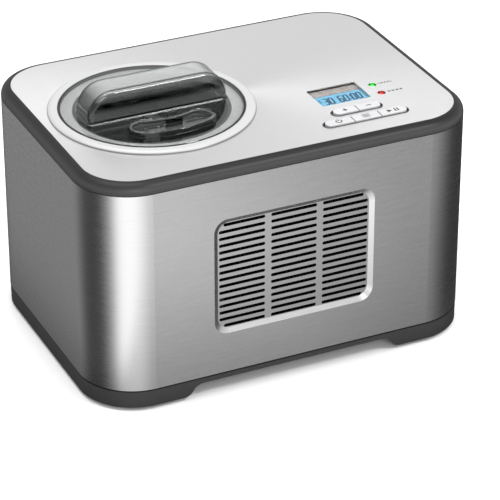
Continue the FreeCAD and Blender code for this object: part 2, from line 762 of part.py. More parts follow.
def lid_seal():
    """Dark rubber ring round the lid: its foot seats on the collar and its lip stands up beside the lid."""
    low = s.lid_seat_height + 0.2
    inner = s.lid_radius + 0.2
    outer = s.lid_seat_radius - 0.4
    foot = s.lid_radius - 1.2
    lip = s.lid_top - 0.3
    return turned("lid_seal", [
        (foot, s.lid_under), (foot, low + 0.3), (foot + 0.3, low), (outer - 0.3, low), (outer, low + 0.3),
        (outer, lip - 0.3), (outer - 0.3, lip), (inner, lip), (inner, s.lid_under)], s.bowl_x)


def lid():
    """Clear lid: a flat disc with a hollow loaf-shaped handle across it and a filler spout in front."""
    body = new_body("lid")
    under = s.lid_under
    top = s.lid_top
    edge = s.lid_radius
    revolve(body, [(0, under), (edge - 0.6, under), (edge, under + 0.6), (edge, top - 0.6), (edge - 0.6, top),
                   (0, top)])

    def loaf(half, crown, bend, foot):
        """The handle's side view: straight crown, round shoulders, upright ends."""
        sketch = new_sketch(body, "XZ_Plane")
        outline(sketch, [(half, foot), (half, crown - bend), (half - bend, crown, bend), (bend - half, crown),
                         (-half, crown - bend, bend), (-half, foot)])
        return sketch

    t = s.handle_wall
    root = top + 0.1
    side_view = loaf(s.handle_half, s.handle_top, s.handle_bend, under + 0.4)
    outside = pad(body, side_view, s.handle_depth, both=True)
    half_depth = num(s.handle_depth) / 2

    def side_edge(edge):
        box = edge.BoundBox
        return box.YLength < 0.01 and abs(abs(box.YMin) - half_depth) < 0.01

    crown = soften(body, outside, lambda e: side_edge(e) and e.BoundBox.ZMax > num(root) + 10, 5.5)
    soften(body, crown, lambda e: side_edge(e) and e.BoundBox.ZMax < num(root), 2.5)
    hollow = loaf(s.handle_half - t, s.handle_top - t, s.handle_bend - t, under - 1)
    pocket(body, hollow, s.handle_depth - 2 * t, both=True)

    spout = new_sketch(body, "XY_Plane", under + 0.4)
    spout_depth = s.cap_depth - 2 * (s.cap_wall + s.cap_gap)
    bean(spout, s.cap_y, spout_depth)
    pad(body, spout, s.cap_top - 2.4 - under - 0.4)
    mouth = new_sketch(body, "XY_Plane", under - 1)
    bean(mouth, s.cap_y, spout_depth - 2 * s.spout_wall)
    pocket(body, mouth, 12, flip=True)
    return place(body, s.bowl_x)


def filler_cap():
    """Clear cover over the filler spout, with an upright half-round finger tab across its middle."""
    body = new_body("filler_cap")
    low = s.lid_top + 0.3
    shell = new_sketch(body, "XY_Plane", low)
    bean(shell, s.cap_y, s.cap_depth)
    cover = pad(body, shell, s.cap_top - low)
    crown = num(s.cap_top) - 0.01
    soften(body, cover, lambda e: e.BoundBox.ZMin > crown, 1.6)
    inside = new_sketch(body, "XY_Plane", low - 1)
    bean(inside, s.cap_y, s.cap_depth - 2 * s.cap_wall)
    pocket(body, inside, s.cap_top - 2 - low + 1, flip=True)
    tab_wall = 2.4
    tab = new_sketch(body, "XZ_Plane", -s.cap_y - tab_wall / 2)
    half = s.tab_half
    foot = s.cap_top - 0.5
    outline(tab, [(-half, foot), (half, foot), (half, foot + 5), (-half, foot + 5, half)])
    pad(body, tab, tab_wall)
    return place(body, s.bowl_x)


# ---------------------------------------------------------------- mixing drive
def pinion_x():
    """The pinion's axis, to the right of the shaft by the two pitch radii and a little."""
    return s.bowl_x + s.gear_module * (s.gear_teeth + s.pinion_teeth) / 2 + s.gear_gap


def spur_gear(body, teeth, low, height, bore, first_angle):
    """A disc with straight-flanked teeth round it, thinner than half the pitch so that they run free."""
    module = num(s.gear_module)
    count = int(num(teeth))
    root = teeth * s.gear_module / 2 - 1.2 * s.gear_module
    disc = new_sketch(body, "XY_Plane", low)
    circle(disc, 0, 0, root)
    if bore:
        circle(disc, 0, 0, bore)
    pad(body, disc, height)
    pitch_radius = count * module / 2
    flanks = [(pitch_radius - 1.2 * module - 0.6, 1.35), (pitch_radius - 1.2 * module, 1.35),
              (pitch_radius, 0.92), (pitch_radius + 0.8 * module, 0.5)]
    turn = math.radians(first_angle)
    points = []
    for radius, half in flanks + [(r, -h) for r, h in reversed(flanks)]:
        points.append((radius * math.cos(turn) - half * math.sin(turn),
                       radius * math.sin(turn) + half * math.cos(turn)))
    tooth_sketch = new_sketch(body, "XY_Plane", low)
    outline(tooth_sketch, points[::-1])
    tooth = pad(body, tooth_sketch, height)
    ring_of(body, tooth, tooth_sketch, count)


def drive_gear():
    body = new_body("drive_gear")
    half_pitch = 180 / num(s.gear_teeth)
    spur_gear(body, s.gear_teeth, 79, 9, s.shaft_radius, half_pitch)
    web = new_sketch(body, "XY_Plane", 88)
    circle(web, 0, 0, 38)
    circle(web, 0, 0, 13)
    pocket(body, web, 3)
    return place(body, s.bowl_x)


def motor_pinion():
    """Pinion and the motor's spindle, in one piece."""
    body = new_body("motor_pinion")
    spur_gear(body, s.pinion_teeth, 78, 11, None, 180)
    stem = new_sketch(body, "XY_Plane", 60)
    circle(stem, 0, 0, 2.5)
    pad(body, stem, 31)
    return place(body, pinion_x())


def gearbox_housing():
    """Open-topped casing under the well, with the shaft's lower bearing in its floor."""
    body = new_body("gearbox_housing")
    low = s.gearbox_floor
    wall = s.gearbox_wall
    x = s.bowl_x + s.gearbox_shift
    case = new_sketch(body, "XY_Plane", low)
    rounded(case, x, 0, s.gearbox_width, s.gearbox_depth, s.gearbox_corner)
    pad(body, case, s.gearbox_lid - low)
    cavity = new_sketch(body, "XY_Plane", s.gearbox_lid)
    rounded(cavity, x, 0, s.gearbox_width - 2 * wall, s.gearbox_depth - 2 * wall, s.gearbox_corner - wall)
    pocket(body, cavity, s.gearbox_lid - low - wall)
    bosses = new_sketch(body, "XY_Plane", low + wall)
    for bx, by in gearbox_corners():
        circle(bosses, bx, by, 4.5)
    pad(body, bosses, s.gearbox_lid - low - wall)
    holes = new_sketch(body, "XY_Plane", s.gearbox_lid)
    for bx, by in gearbox_corners():
        circle(holes, bx, by, 1.8)
    pocket(body, holes, 12)
    bearings = new_sketch(body, "XY_Plane", low + wall)
    circle(bearings, s.bowl_x, 0, s.shaft_radius + 0.06)
    circle(bearings, pinion_x(), 0, 4)
    pocket(body, bearings, 6)
    return body


def gearbox_corners():
    return corners(58, 46, s.bowl_x + s.gearbox_shift, 0)


def gearbox_cover():
    body = new_body("gearbox_cover")
    cover = new_sketch(body, "XY_Plane", s.gearbox_lid)
    rounded(cover, s.bowl_x + s.gearbox_shift, 0, s.gearbox_width, s.gearbox_depth, s.gearbox_corner)
    circle(cover, s.bowl_x, 0, s.shaft_radius + 0.06)
    for x, y in gearbox_corners():
        circle(cover, x, y, 3.8)
    pad(body, cover, 2.4)
    return body


def gearbox_screws():
    """Screws down the corner bosses, their heads sunk in the cover."""
    return group("gearbox_screws", [pan_screw(f"gearbox_screw_{i}", x, y, s.gearbox_lid, 10)
                                    for i, (x, y) in enumerate(gearbox_corners())])


def gearbox_posts():
    posts = [rod(f"gearbox_post_{i}", x, y, s.chassis_top, 4, s.gearbox_floor - s.chassis_top)
             for i, (x, y) in enumerate(corners(52, 40, s.bowl_x + s.gearbox_shift, 0))]
    return group("gearbox_posts", posts)


def mixing_motor():
    """Motor can under the gearbox, with a bore that the pinion's spindle runs in."""
    body = new_body("mixing_motor")
    top = s.gearbox_floor
    revolve(body, [(0, 28), (20, 28), (23, 31), (23, 70), (20, top), (2.57, top), (2.57, 59), (0, 59)])
    return place(body, pinion_x())


# ---------------------------------------------------------------- cooling side
def compressor():
    """Welded steel pot on a footed plate; hollow, with the pump inside."""
    body = new_body("compressor")
    r = s.compressor_radius
    wall = 3
    revolve(body, [
        (0, 35), (r - 16, 35), (r, 51, 16), (r, 96), (r + 2, 97), (r + 2, 101), (r, 102), (r, 138),
        (r - 22, 160, 22), (0, 164), (0, 164 - wall), (r - 22.5, 160 - wall),
        (r - wall, 137.5, -20), (r - wall, 51.5), (r - 16, 35 + wall, -13), (0, 35 + wall)])
    plate = new_sketch(body, "XY_Plane", 31)
    rounded(plate, 0, 0, 120, 100, 12)
    for x, y in corners(50, 40):
        circle(plate, x, y, 5)
    pad(body, plate, 4.2)
    return place(body, s.compressor_x, s.compressor_y)


def compressor_pump():
    """Motor and piston block inside the pot."""
    profile = [(0, 52), (36, 52), (38, 54), (38, 100), (30, 104), (30, 136), (27, 139), (0, 139)]
    return turned("compressor_pump", profile, s.compressor_x, s.compressor_y)


def compressor_grommets():
    """Four spool-shaped rubber mounts, each waisted through the pot's plate."""
    spools = []
    for i, (x, y) in enumerate(corners(50, 40, s.compressor_x, s.compressor_y)):
        base = rod(f"grommet_base_{i}", x, y, s.chassis_top, 8, 31 - s.chassis_top)
        waist = rod(f"grommet_waist_{i}", x, y, 29, 4.95, 8)
        cap = rod(f"grommet_cap_{i}", x, y, 35.2, 7, 3)
        spool = doc.addObject("Part::MultiFuse", f"grommet_{i}")
        spool.Shapes = [base, waist, cap]
        spools.append(spool)
    return group("compressor_grommets", spools)


def relay_cover():
    """Snap-on box over the pot's terminals."""
    x = s.compressor_x
    y = s.compressor_y - s.compressor_radius
    outer = block("relay_box", x - 21, x + 21, y - 24, y - 1, 70, 122)
    inner = block("relay_hollow", x - 19, x + 19, y - 22, y, 72, 120)
    return keep(without("relay_cover", outer, inner), "relay_cover")


def condenser():
    """Finned tube block behind the grille."""
    left, right = -56, 154
    front, back = -142, -106
    parts = []
    for i in range(27):
        x = left + 5 + i * (right - left - 10.8) / 26
        parts.append(block(f"fin_{i}", x, x + 0.8, front, back, 44, 192))
    for row in range(6):
        for y in (front + 10, back - 10):
            parts.append(rod(f"condenser_tube_{row}_{int(y)}", left, y, 56 + row * 24.8, 3.2,
                             right - left, ALONG_X))
    parts.append(block("end_left", left, left + 1.5, front, back, 40, 196))
    parts.append(block("end_right", right - 1.5, right, front, back, 40, 196))
    parts.append(block("end_foot", left, right, back - 3, back, s.chassis_top, 41.2))
    return join("condenser", parts)


def fan_shroud():
    """Square duct plate behind the condenser with a round throat for the fan."""
    z = s.fan_height
    x = s.fan_x
    body = new_body("fan_shroud")
    frame = new_sketch(body, "XZ_Plane", 103)
    rounded(frame, x, z, 126, 126, 6)
    circle(frame, x, z, s.fan_radius + 3)
    pad(body, frame, 3, flip=True)
    throat = new_sketch(body, "XZ_Plane", 101)
    circle(throat, x, z, s.fan_radius + 5)
    circle(throat, x, z, s.fan_radius + 3)
    pad(body, throat, 25, flip=True)
    feet = new_sketch(body, "XZ_Plane", 103)
    for side in (-1, 1):
        rectangle(feet, x + side * 50, (s.chassis_top + z - 62) / 2, 16, z - 62 - s.chassis_top)
    pad(body, feet, 3, flip=True)
    return body


def fan_bracket():
    """Cross of flat bars behind the throat that holds the fan's motor."""
    z = s.fan_height
    x = s.fan_x
    body = new_body("fan_bracket")
    cross = new_sketch(body, "XZ_Plane", 75.8)
    r = s.fan_radius + 5
    outline(cross, [(x - 5, z - r), (x + 5, z - r), (x + 5, z - 5), (x + r, z - 5), (x + r, z + 5),
                    (x + 5, z + 5), (x + 5, z + r), (x - 5, z + r), (x - 5, z + 5), (x - r, z + 5),
                    (x - r, z - 5), (x - 5, z - 5)])
    pad(body, cross, 2, flip=True)
    hole = new_sketch(body, "XZ_Plane", 77)
    circle(hole, x, z, 4)
    pocket(body, hole, 6)
    return body


def fan_motor():
    """Small motor behind the bracket, bored for the rotor's spindle."""
    body = new_body("fan_motor")
    revolve(body, [(2.06, 0), (17, 0), (18, 1), (18, 24), (15, 27), (0, 27), (0, 22), (2.06, 22)])
    hub = V(num(s.fan_x), -73.8, num(s.fan_height))
    body.Placement = FreeCAD.Placement(hub, FreeCAD.Rotation(V(1, 0, 0), -90))
    return body


def fan_rotor():
    """Hub, spindle and seven pitched blades."""
    x, z = s.fan_x, s.fan_height
    middle = -88
    hub = rod("fan_hub", x, middle - 7, z, 15, 14, ALONG_Y)
    spindle = rod("fan_spindle", x, middle, z, 2, 34, ALONG_Y)
    parts = [hub, spindle]
    blades = 7
    span, chord, thick = s.fan_radius - 13, 22, 1.6
    for i in range(blades):
        blade = doc.addObject("Part::Box", f"fan_blade_{i}")
        bind(blade, "Length", span)
        bind(blade, "Width", chord)
        bind(blade, "Height", thick)
        around = FreeCAD.Rotation(V(0, 1, 0), 360 / blades * i)
        pitch = FreeCAD.Rotation(V(1, 0, 0), 38)
        turn = around.multiply(pitch)
        root = V(num(x), middle, num(z)) + turn.multVec(V(13, -chord / 2, -thick / 2))
        blade.Placement = FreeCAD.Placement(root, turn)
        parts.append(blade)
    return join("fan_rotor", parts)


def tube(label, points, radius, bend):
    """A tube along straight runs joined by tangent arcs of one bend radius."""
    points = [V(*(num(c) for c in p)) for p in points]
    edges = []
    start = points[0]
    for before, corner, after in zip(points, points[1:], points[2:]):
        a = (before - corner).normalize()
        b = (after - corner).normalize()
        half = a.getAngle(b) / 2
        cut = bend / math.tan(half)
        first, last = corner + a * cut, corner + b * cut
        middle_way = (a + b).normalize()
        middle = corner + middle_way * (bend / math.sin(half) - bend)
        edges.append(Part.LineSegment(start, first).toShape())
        edges.append(Part.Arc(first, middle, last).toShape())
        start = last
    edges.append(Part.LineSegment(start, points[-1]).toShape())
    wire = Part.Wire(edges)
    profile = Part.Wire([Part.makeCircle(num(radius), points[0], points[1] - points[0])])
    feature = doc.addObject("Part::Feature", label)
    feature.Shape = wire.makePipeShell([profile], True, False)
    expected = math.pi * num(radius) ** 2 * wire.Length
    print(label, "volume over section times length:", round(feature.Shape.Volume / expected, 4))
    return keep(feature, label)


def refrigerant_tubes():
    """Compressor to condenser, condenser to drier, drier to coil, coil to compressor."""
    cx, cy = s.compressor_x, s.compressor_y
    coil_end = s.bowl_x + s.foam_radius + 4
    liquid_low, suction_top = coil_ends()
    tube("discharge_line", [(cx + 46, cy - 38.5, 120), (cx + 46, cy - 70, 120), (cx + 46, cy - 70, 180),
                            (cx + 46, -132, 180), (154, -132, 180)], 2.4, 8)
    tube("liquid_line", [(154, -116, 56), (164, -116, 56), (164, -116, 28), (164, -64, 28), (46, -64, 28),
                         (46, 112, 28), (46, 112, 56)], 2.4, 4.5)
    tube("capillary_tube", [(46, 112, 126), (46, 112, 150), (24, 112, 150), (24, 0, 150),
                            (24, 0, liquid_low), (coil_end, 0, liquid_low)], 1.5, 6)
    tube("suction_line", [(coil_end, 0, suction_top), (40, 0, suction_top), (40, 40, suction_top),
                          (40, 40, 196), (cx - 20, cy, 196), (cx - 20, cy, 163.5)], 3, 8)


def filter_drier():
    """Copper canister with necked ends."""
    profile = [(0, 56), (3, 56), (3, 62), (9, 70), (9, 112), (3, 120), (3, 126), (0, 126)]
    return turned("filter_drier", profile, 46, 112)


# ---------------------------------------------------------------- electronics and controls
def power_board():
    """Supply board at the back: transformer, capacitors, relays and terminals on one board."""
    y = 126
    board = block("board_sheet", -70, 12, y, y + 1.6, 100, 182)
    parts = [board, block("transformer", -62, -30, y - 20, y + 0.5, 112, 142)]
    for i, x in enumerate((-18, -2)):
        parts.append(rod(f"capacitor_{i}", x, y - 18, 124, 6.5, 18.5, ALONG_Y))
    for i, x in enumerate((-60, -38, -16)):
        parts.append(block(f"relay_{i}", x, x + 18, y - 13, y + 0.5, 158, 172))
    return join("power_board", parts)


def board_bracket():
    """Folded sheet that stands on the chassis and carries the supply board on four posts."""
    y = 134
    back = block("bracket_back", -72, 14, y, y + 1.2, s.chassis_top, 184)
    foot = block("bracket_foot", -72, 14, y - 18, y + 1.2, s.chassis_top, s.chassis_top + 1.2)
    parts = [back, foot]
    for i, (x, z) in enumerate(corners(36, 36, -29, 141)):
        parts.append(rod(f"board_post_{i}", x, 127.6, z, 3, y + 0.5 - 127.6, ALONG_Y))
    return join("board_bracket", parts)


def control_pcb():
    body = new_body("control_pcb")
    board = new_sketch(body, "XY_Plane", s.pcb_top - 1.6)
    rounded(board, s.panel_x, -79, 106, 100, 3)
    for x, y in pillar_places():
        circle(board, x, y, 1.6)
    pad(body, board, 1.6)
    return body


def pillar_places():
    return corners(48, 46.5, s.panel_x, -79)


def pcb_pillars():
    """Four pillars that hang the control board from the deck plate."""
    pillars = [rod(f"pillar_{i}", x, y, s.pcb_top, 3, s.deck_height - s.plate_wall - s.pcb_top)
               for i, (x, y) in enumerate(pillar_places())]
    return group("pcb_pillars", pillars)


def button_spans():
    """Name, row centre, left and right edges, and which ends are round, for the five buttons."""
    gap = s.button_gap / 2
    edge = s.key_end
    pair_left = s.panel_x - s.pair_length / 2 + edge
    pair_right = s.panel_x + s.pair_length / 2 - edge
    row_left = s.panel_x - s.row_length / 2 + edge
    row_right = s.panel_x + s.row_length / 2 - edge
    third = (s.row_length - 2 * edge) / 3
    return [("button_plus", s.button_y, pair_left, s.panel_x - gap, True, False),
            ("button_minus", s.button_y, s.panel_x + gap, pair_right, False, True),
            ("button_power", s.button_row_y, row_left, row_left + third - gap, True, False),
            ("button_menu", s.button_row_y, row_left + third + gap, row_right - third - gap, False, False),
            ("button_start", s.button_row_y, row_right - third + gap, row_right, False, True)]


def button(label, y, left, right, round_left, round_right):
    """A key cap: flat top, soft edges, half-round where it meets an end of the bezel, and a stem below."""
    body = new_body(label)
    low = s.deck_height - 4.5
    half = s.button_depth / 2 - 0.5
    cap = new_sketch(body, "XY_Plane", low)
    points = []
    if round_left:
        points += [(left + half, y + half), (left + half, y - half, half)]
    else:
        points += [(left, y + half), (left, y - half)]
    if round_right:
        points += [(right - half, y - half), (right - half, y + half, half)]
    else:
        points += [(right, y - half), (right, y + half)]
    outline(cap, points)
    top = pad(body, cap, s.deck_height + s.button_proud - low)
    crown = num(s.deck_height + s.button_proud) - 0.01
    soften(body, top, lambda e: e.BoundBox.ZMin > crown, 0.7)
    stem = new_sketch(body, "XY_Plane", low)
    circle(stem, (left + right) / 2, y, 2)
    pad(body, stem, low - s.pcb_top - 5, flip=True)
    return body


def tactile_switches():
    switches = []
    for label, y, left, right, _, _ in button_spans():
        x = (left + right) / 2
        case = block(label + "_switch_case", x - 3, x + 3, y - 3, y + 3, s.pcb_top, s.pcb_top + 3)
        top = rod(label + "_switch_top", x, y, s.pcb_top + 2.5, 1.7, 1.2)
        whole = doc.addObject("Part::MultiFuse", label + "_switch")
        whole.Shapes = [case, top]
        switches.append(whole)
    return group("tactile_switches", switches)


def button_bezel(label, y, length):
    """Oblong frame in the deck plate round a row of buttons."""
    body = new_body(label)
    x = s.panel_x
    under = s.deck_height - s.plate_wall
    depth = s.button_depth
    flange = new_sketch(body, "XY_Plane", under - 1.5)
    oblong(flange, x, y, length + 4, depth + 6.4)
    pad(body, flange, 1.45)
    ring = new_sketch(body, "XY_Plane", under - 0.5)
    oblong(ring, x, y, length - 0.2, depth + 2.2)
    collar = pad(body, ring, s.plate_wall + 0.5 + 0.7)
    crown = num(s.deck_height) + 0.69
    soften(body, collar, lambda e: e.BoundBox.ZMin > crown, 0.6)
    opening = new_sketch(body, "XY_Plane", s.deck_height + 2)
    oblong(opening, x, y, length - 2.2, depth)
    pocket(body, opening, 10)
    return body


def lcd_module():
    x = s.panel_x - 0.7
    glass = block("lcd_glass", x - s.lcd_width / 2 - 1.5, x + s.lcd_width / 2 + 1.5,
                  s.lcd_y - s.lcd_depth / 2 - 1.2, s.lcd_y + s.lcd_depth / 2 + 1.2, s.pcb_top + 4.4, s.deck_height - 3.6)
    legs = [block(f"lcd_leg_{i}", lx - 2, lx + 2, s.lcd_y - 12, s.lcd_y + 12, s.pcb_top, s.pcb_top + 5)
            for i, lx in enumerate((x - 22, x + 22))]
    return join("lcd_module", [glass] + legs)


def lcd_window():
    """Clear cover sunk in the deck plate's opening."""
    body = new_body("lcd_window")
    pane = new_sketch(body, "XY_Plane", s.deck_height - 3.4)
    rounded(pane, s.panel_x - 0.7, s.lcd_y, s.lcd_width - 0.3, s.lcd_depth - 0.3, 1.8)
    pad(body, pane, 1.8)
    return body


def indicator(label, y):
    """Lamp with a domed lens, smaller than its hole and with its tip sunk below the deck."""
    r = s.lamp_radius
    dome = 248.2
    return turned(label, [(0, s.pcb_top), (r - 0.4, s.pcb_top), (r - 0.4, 243), (r, 243.4), (r, dome),
                          (0, dome + r, r)], s.led_x, y)


# ---------------------------------------------------------------- build, check and write
def build():
    base_pan()
    rubber_feet()
    chassis_plate()
    chassis_screws()
    steel_wrap()
    top_trim()
    top_plate()
    wrap_screws()
    cord_gland()
    bowl_collar()
    evaporator_well()
    evaporator_coil()
    insulation_foam()
    temperature_sensor()
    shaft_bush()
    shaft_seal()
    bowl()
    bowl_bail()
    drive_shaft()
    paddle()
    lid_seal()
    lid()
    filler_cap()
    drive_gear()
    motor_pinion()
    gearbox_housing()
    gearbox_cover()
    gearbox_screws()
    gearbox_posts()
    mixing_motor()
    compressor()
    compressor_pump()
    compressor_grommets()
    relay_cover()
    condenser()
    fan_shroud()
    fan_bracket()
    fan_motor()
    fan_rotor()
    refrigerant_tubes()
    filter_drier()
    power_board()
    board_bracket()
    control_pcb()
    pcb_pillars()
    tactile_switches()
    for span in button_spans():
        button(*span)
    button_bezel("bezel_pair", s.button_y, s.pair_length)
    button_bezel("bezel_row", s.button_row_y, s.row_length)
    lcd_module()
    lcd_window()
    green_y, red_y = led_places()
    indicator("lamp_green", green_y)
    indicator("lamp_red", red_y)


def check():
    """Stop if anything failed to build, is empty or invalid, or if a cut took nothing away."""
    doc.recompute()
    failed = [obj.Name for obj in doc.Objects if "Invalid" in obj.State or "Error" in obj.State]
    if failed:
        raise RuntimeError(f"did not build: {failed}")
    for cut in cuts:
        base = cut.BaseFeature
        if cut.Shape.Volume >= base.Shape.Volume - 1e-3:
            raise RuntimeError(f"{cut.Name} of {cut.getParent().Label} cuts nothing")
    for node in nodes:
        shape = node.Shape
        if shape.isNull() or not shape.isValid() or not shape.Solids:
            raise RuntimeError(f"{node.Label} has no valid solid")


def write():
    os.makedirs("parts", exist_ok=True)
    for node in nodes:
        node.Shape.exportStep(f"parts/{node.Label}.step")
        box = node.Shape.BoundBox
        print(f"{node.Label}: {len(node.Shape.Solids)} solid(s), {box.XLength:.1f} x {box.YLength:.1f} x "
              f"{box.ZLength:.1f} mm, {node.Shape.Volume / 1000:.1f} cm3")
    print(len(nodes), "sub-parts written")


build()
check()
write()
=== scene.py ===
# %% [markdown]
# # A compressor ice cream maker
# This lesson dresses a finished mechanical model, so that it looks like the machine in a shop window.
# The mechanical model gives every size and place. It is loaded first and is never moved or reshaped.
# What is left for Blender is the finish: brushed steel, moulded plastic, clear plastic, lit glass,
# and the small printed marks that a mechanical model has no use for.

import math

import bpy
import numpy as np
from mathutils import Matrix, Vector


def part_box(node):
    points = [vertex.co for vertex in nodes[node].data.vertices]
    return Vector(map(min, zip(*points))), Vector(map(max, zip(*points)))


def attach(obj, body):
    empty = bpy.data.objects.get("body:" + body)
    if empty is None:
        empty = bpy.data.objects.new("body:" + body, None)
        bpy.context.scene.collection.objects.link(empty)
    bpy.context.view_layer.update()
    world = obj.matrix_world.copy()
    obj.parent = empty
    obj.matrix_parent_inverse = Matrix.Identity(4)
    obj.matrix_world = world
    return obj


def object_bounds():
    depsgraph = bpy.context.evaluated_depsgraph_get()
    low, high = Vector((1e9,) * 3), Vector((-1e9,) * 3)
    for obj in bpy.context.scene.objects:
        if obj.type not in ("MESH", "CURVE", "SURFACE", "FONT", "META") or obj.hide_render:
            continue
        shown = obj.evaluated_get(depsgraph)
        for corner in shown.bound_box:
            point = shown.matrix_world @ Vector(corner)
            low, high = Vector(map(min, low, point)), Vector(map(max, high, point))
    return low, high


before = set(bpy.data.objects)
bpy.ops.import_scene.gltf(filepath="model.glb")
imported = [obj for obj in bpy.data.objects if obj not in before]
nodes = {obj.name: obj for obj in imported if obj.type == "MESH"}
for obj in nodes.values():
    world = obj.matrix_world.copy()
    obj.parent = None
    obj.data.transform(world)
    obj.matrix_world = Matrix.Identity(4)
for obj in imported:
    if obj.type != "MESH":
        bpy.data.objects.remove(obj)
cad_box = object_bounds()
print("loaded", len(nodes), "nodes; box", [tuple(round(c, 4) for c in corner) for corner in cad_box])

# %% [markdown]
# ## Camera
# A long lens far away keeps the cabinet's upright edges nearly parallel, as in a catalogue picture.
# The camera stands a little to the left and looks down by about thirty degrees, so that the deck,
# the front and the left side all show. The lens is given in millimetres on a 36 mm wide sensor.

# %% Camera
CAMERA_PLACE = Vector((-1.0024, -2.1856, 1.4046))
CAMERA_TARGET = Vector((0.0169, -0.0100, 0.0693))
LENS_MM = 189.0


def add_camera(place, target, lens):
    """A camera at a place, turned so that its own -Z axis points at the target."""
    camera = bpy.data.objects.new("camera", bpy.data.cameras.new("camera"))
    bpy.context.scene.collection.objects.link(camera)
    camera.location = place
    camera.rotation_euler = (target - place).to_track_quat("-Z", "Y").to_euler()
    camera.data.lens = lens
    camera.data.clip_end = 20
    bpy.context.scene.camera = camera
    return camera


camera = add_camera(CAMERA_PLACE, CAMERA_TARGET, LENS_MM)
print("camera", round((CAMERA_PLACE - CAMERA_TARGET).length, 3), "m from the cabinet")

# %% [markdown]
# ## Light
# Polished and brushed metal has almost no colour of its own: it shows the room. So the room is made
# first. The world is a ring of pale and dark panels round the machine, written as a colour ramp over
# the compass direction. The pale panels become the bright stripe down a rounded corner, and the dark
# ones become the shaded stripes beside it, which is how a studio draws the shape of a steel box.

# %% Nodes from numbers and sockets
def value_node(tree, operation, a, b=None):
    """A Math node fed by two sockets or numbers."""
    node = tree.nodes.new("ShaderNodeMath")
    node.operation = operation
    for i, source in enumerate((a, b)):
        if source is None:
            continue
        if isinstance(source, (int, float)):
            node.inputs[i].default_value = source
        else:
            tree.links.new(source, node.inputs[i])
    return node.outputs[0]


def ramp_node(tree, factor, stops, colours=False):
    """A colour ramp from (place, grey) or (place, (r, g, b)) stops."""
    node = tree.nodes.new("ShaderNodeValToRGB")
    ramp = node.color_ramp
    while len(ramp.elements) < len(stops):
        ramp.elements.new(0.5)
    for element, (place, level) in zip(ramp.elements, stops):
        element.position = place
        element.color = (*level, 1) if colours else (level, level, level, 1)
    tree.links.new(factor, node.inputs[0])
    return node.outputs[0]


def mix_colour(tree, blend, factor, a, b):
    """Two colours put together: multiplied, or mixed by a factor."""
    both = tree.nodes.new("ShaderNodeMix")
    both.data_type = "RGBA"
    both.blend_type = blend
    for name, source in (("Factor", factor), ("A", a), ("B", b)):
        if isinstance(source, (float, tuple)):
            both.inputs[name].default_value = source
        else:
            tree.links.new(source, both.inputs[name])
    return both.outputs["Result"]


print("node helpers ready")

# %% The room
# Compass turn in degrees (0 in front of the machine, 90 at its left) and brightness of each panel's edge.
LOW_PANELS = [
    (-180, 0.30), (-125, 0.20), (-75, 0.22), (-48, 0.58), (-22, 0.93), (-6, 1.30), (10, 1.80),
    (44, 1.85), (60, 0.50), (80, 0.06), (118, 0.08), (150, 0.37), (180, 0.30),
]
PANEL_SHARE = 0.6
ROOM_STRENGTH = 1.6
WALL_GREY = (0.56, 0.56, 0.565, 1)


def compass_share(tree, direction):
    """Compass turn of a direction, atan2(-x, -y), taken from a full circle to the range 0 to 1."""
    across = value_node(tree, "MULTIPLY", direction.outputs["X"], -1.0)
    toward = value_node(tree, "MULTIPLY", direction.outputs["Y"], -1.0)
    turn = value_node(tree, "ARCTAN2", across, toward)
    return value_node(tree, "ADD", value_node(tree, "MULTIPLY", turn, 1 / (2 * math.pi)), 0.5)


def make_room():
    """A world that is plain grey wall above eye level and the ring of panels below it."""
    world = bpy.data.worlds.new("studio")
    bpy.context.scene.world = world
    world.use_nodes = True
    tree = world.node_tree
    tree.nodes.clear()
    spot = tree.nodes.new("ShaderNodeTexCoord")
    direction = tree.nodes.new("ShaderNodeSeparateXYZ")
    tree.links.new(spot.outputs["Generated"], direction.inputs[0])
    stops = [((angle + 180) / 360, level * PANEL_SHARE) for angle, level in LOW_PANELS]
    panels = ramp_node(tree, compass_share(tree, direction), stops)
    half_height = value_node(tree, "MULTIPLY", direction.outputs["Z"], 0.5)
    height = value_node(tree, "ADD", half_height, 0.5)
    above = ramp_node(tree, height, [(0.40, 0.0), (0.58, 1.0)])
    back = tree.nodes.new("ShaderNodeBackground")
    back.inputs["Strength"].default_value = ROOM_STRENGTH
    tree.links.new(mix_colour(tree, "MIX", above, panels, WALL_GREY), back.inputs["Color"])
    out = tree.nodes.new("ShaderNodeOutputWorld")
    tree.links.new(back.outputs[0], out.inputs["Surface"])


make_room()
bpy.context.scene.view_settings.view_transform = "Standard"
print("room made of", len(LOW_PANELS), "panel edges")

# %% [markdown]
# Three soft square lamps are added to the room. The large one overhead lights the deck and the floor. The
# one in front lights the dark plastic, which mirrors too little of the room to show its shape. The last
# hangs high at the right front, where a rounded front edge mirrors it as a thin white line.

# %% Lamps
# name: (place, target, side, watts), in metres and watts
LAMPS = {
    "overhead": ((-0.2, 0.3, 2.2), (0, 0, 0.1), 1.6, 36),
    "front": ((-0.5, -2.2, 1.2), (0, 0, 0.15), 0.9, 18),
    "edge_strip": ((0.85, -1.25, 1.95), (-0.05, 0, 0.25), 0.6, 22),
}


def add_lamp(name, place, target, side, watts):
    """A square soft lamp at a place, facing a target."""
    lamp = bpy.data.objects.new(name, bpy.data.lights.new(name, "AREA"))
    bpy.context.scene.collection.objects.link(lamp)
    lamp.location = place
    lamp.rotation_euler = (Vector(target) - Vector(place)).to_track_quat("-Z", "Y").to_euler()
    lamp.data.size = side
    lamp.data.energy = watts


for name, settings in LAMPS.items():
    add_lamp(name, *settings)
print("lamps:", ", ".join(LAMPS))

# %% [markdown]
# ## Helpers for finishes
# Each finish is one Principled shader, with a pattern on the piece's own Object coordinates for what a
# close look shows: fine lines in brushed metal, a leathery grain in moulded plastic, cloudy shades. Plain
# numbers go on the shader's own sockets. Patterns are linked only to colour, roughness, bump and
# transmission, which can all be painted into a texture later.

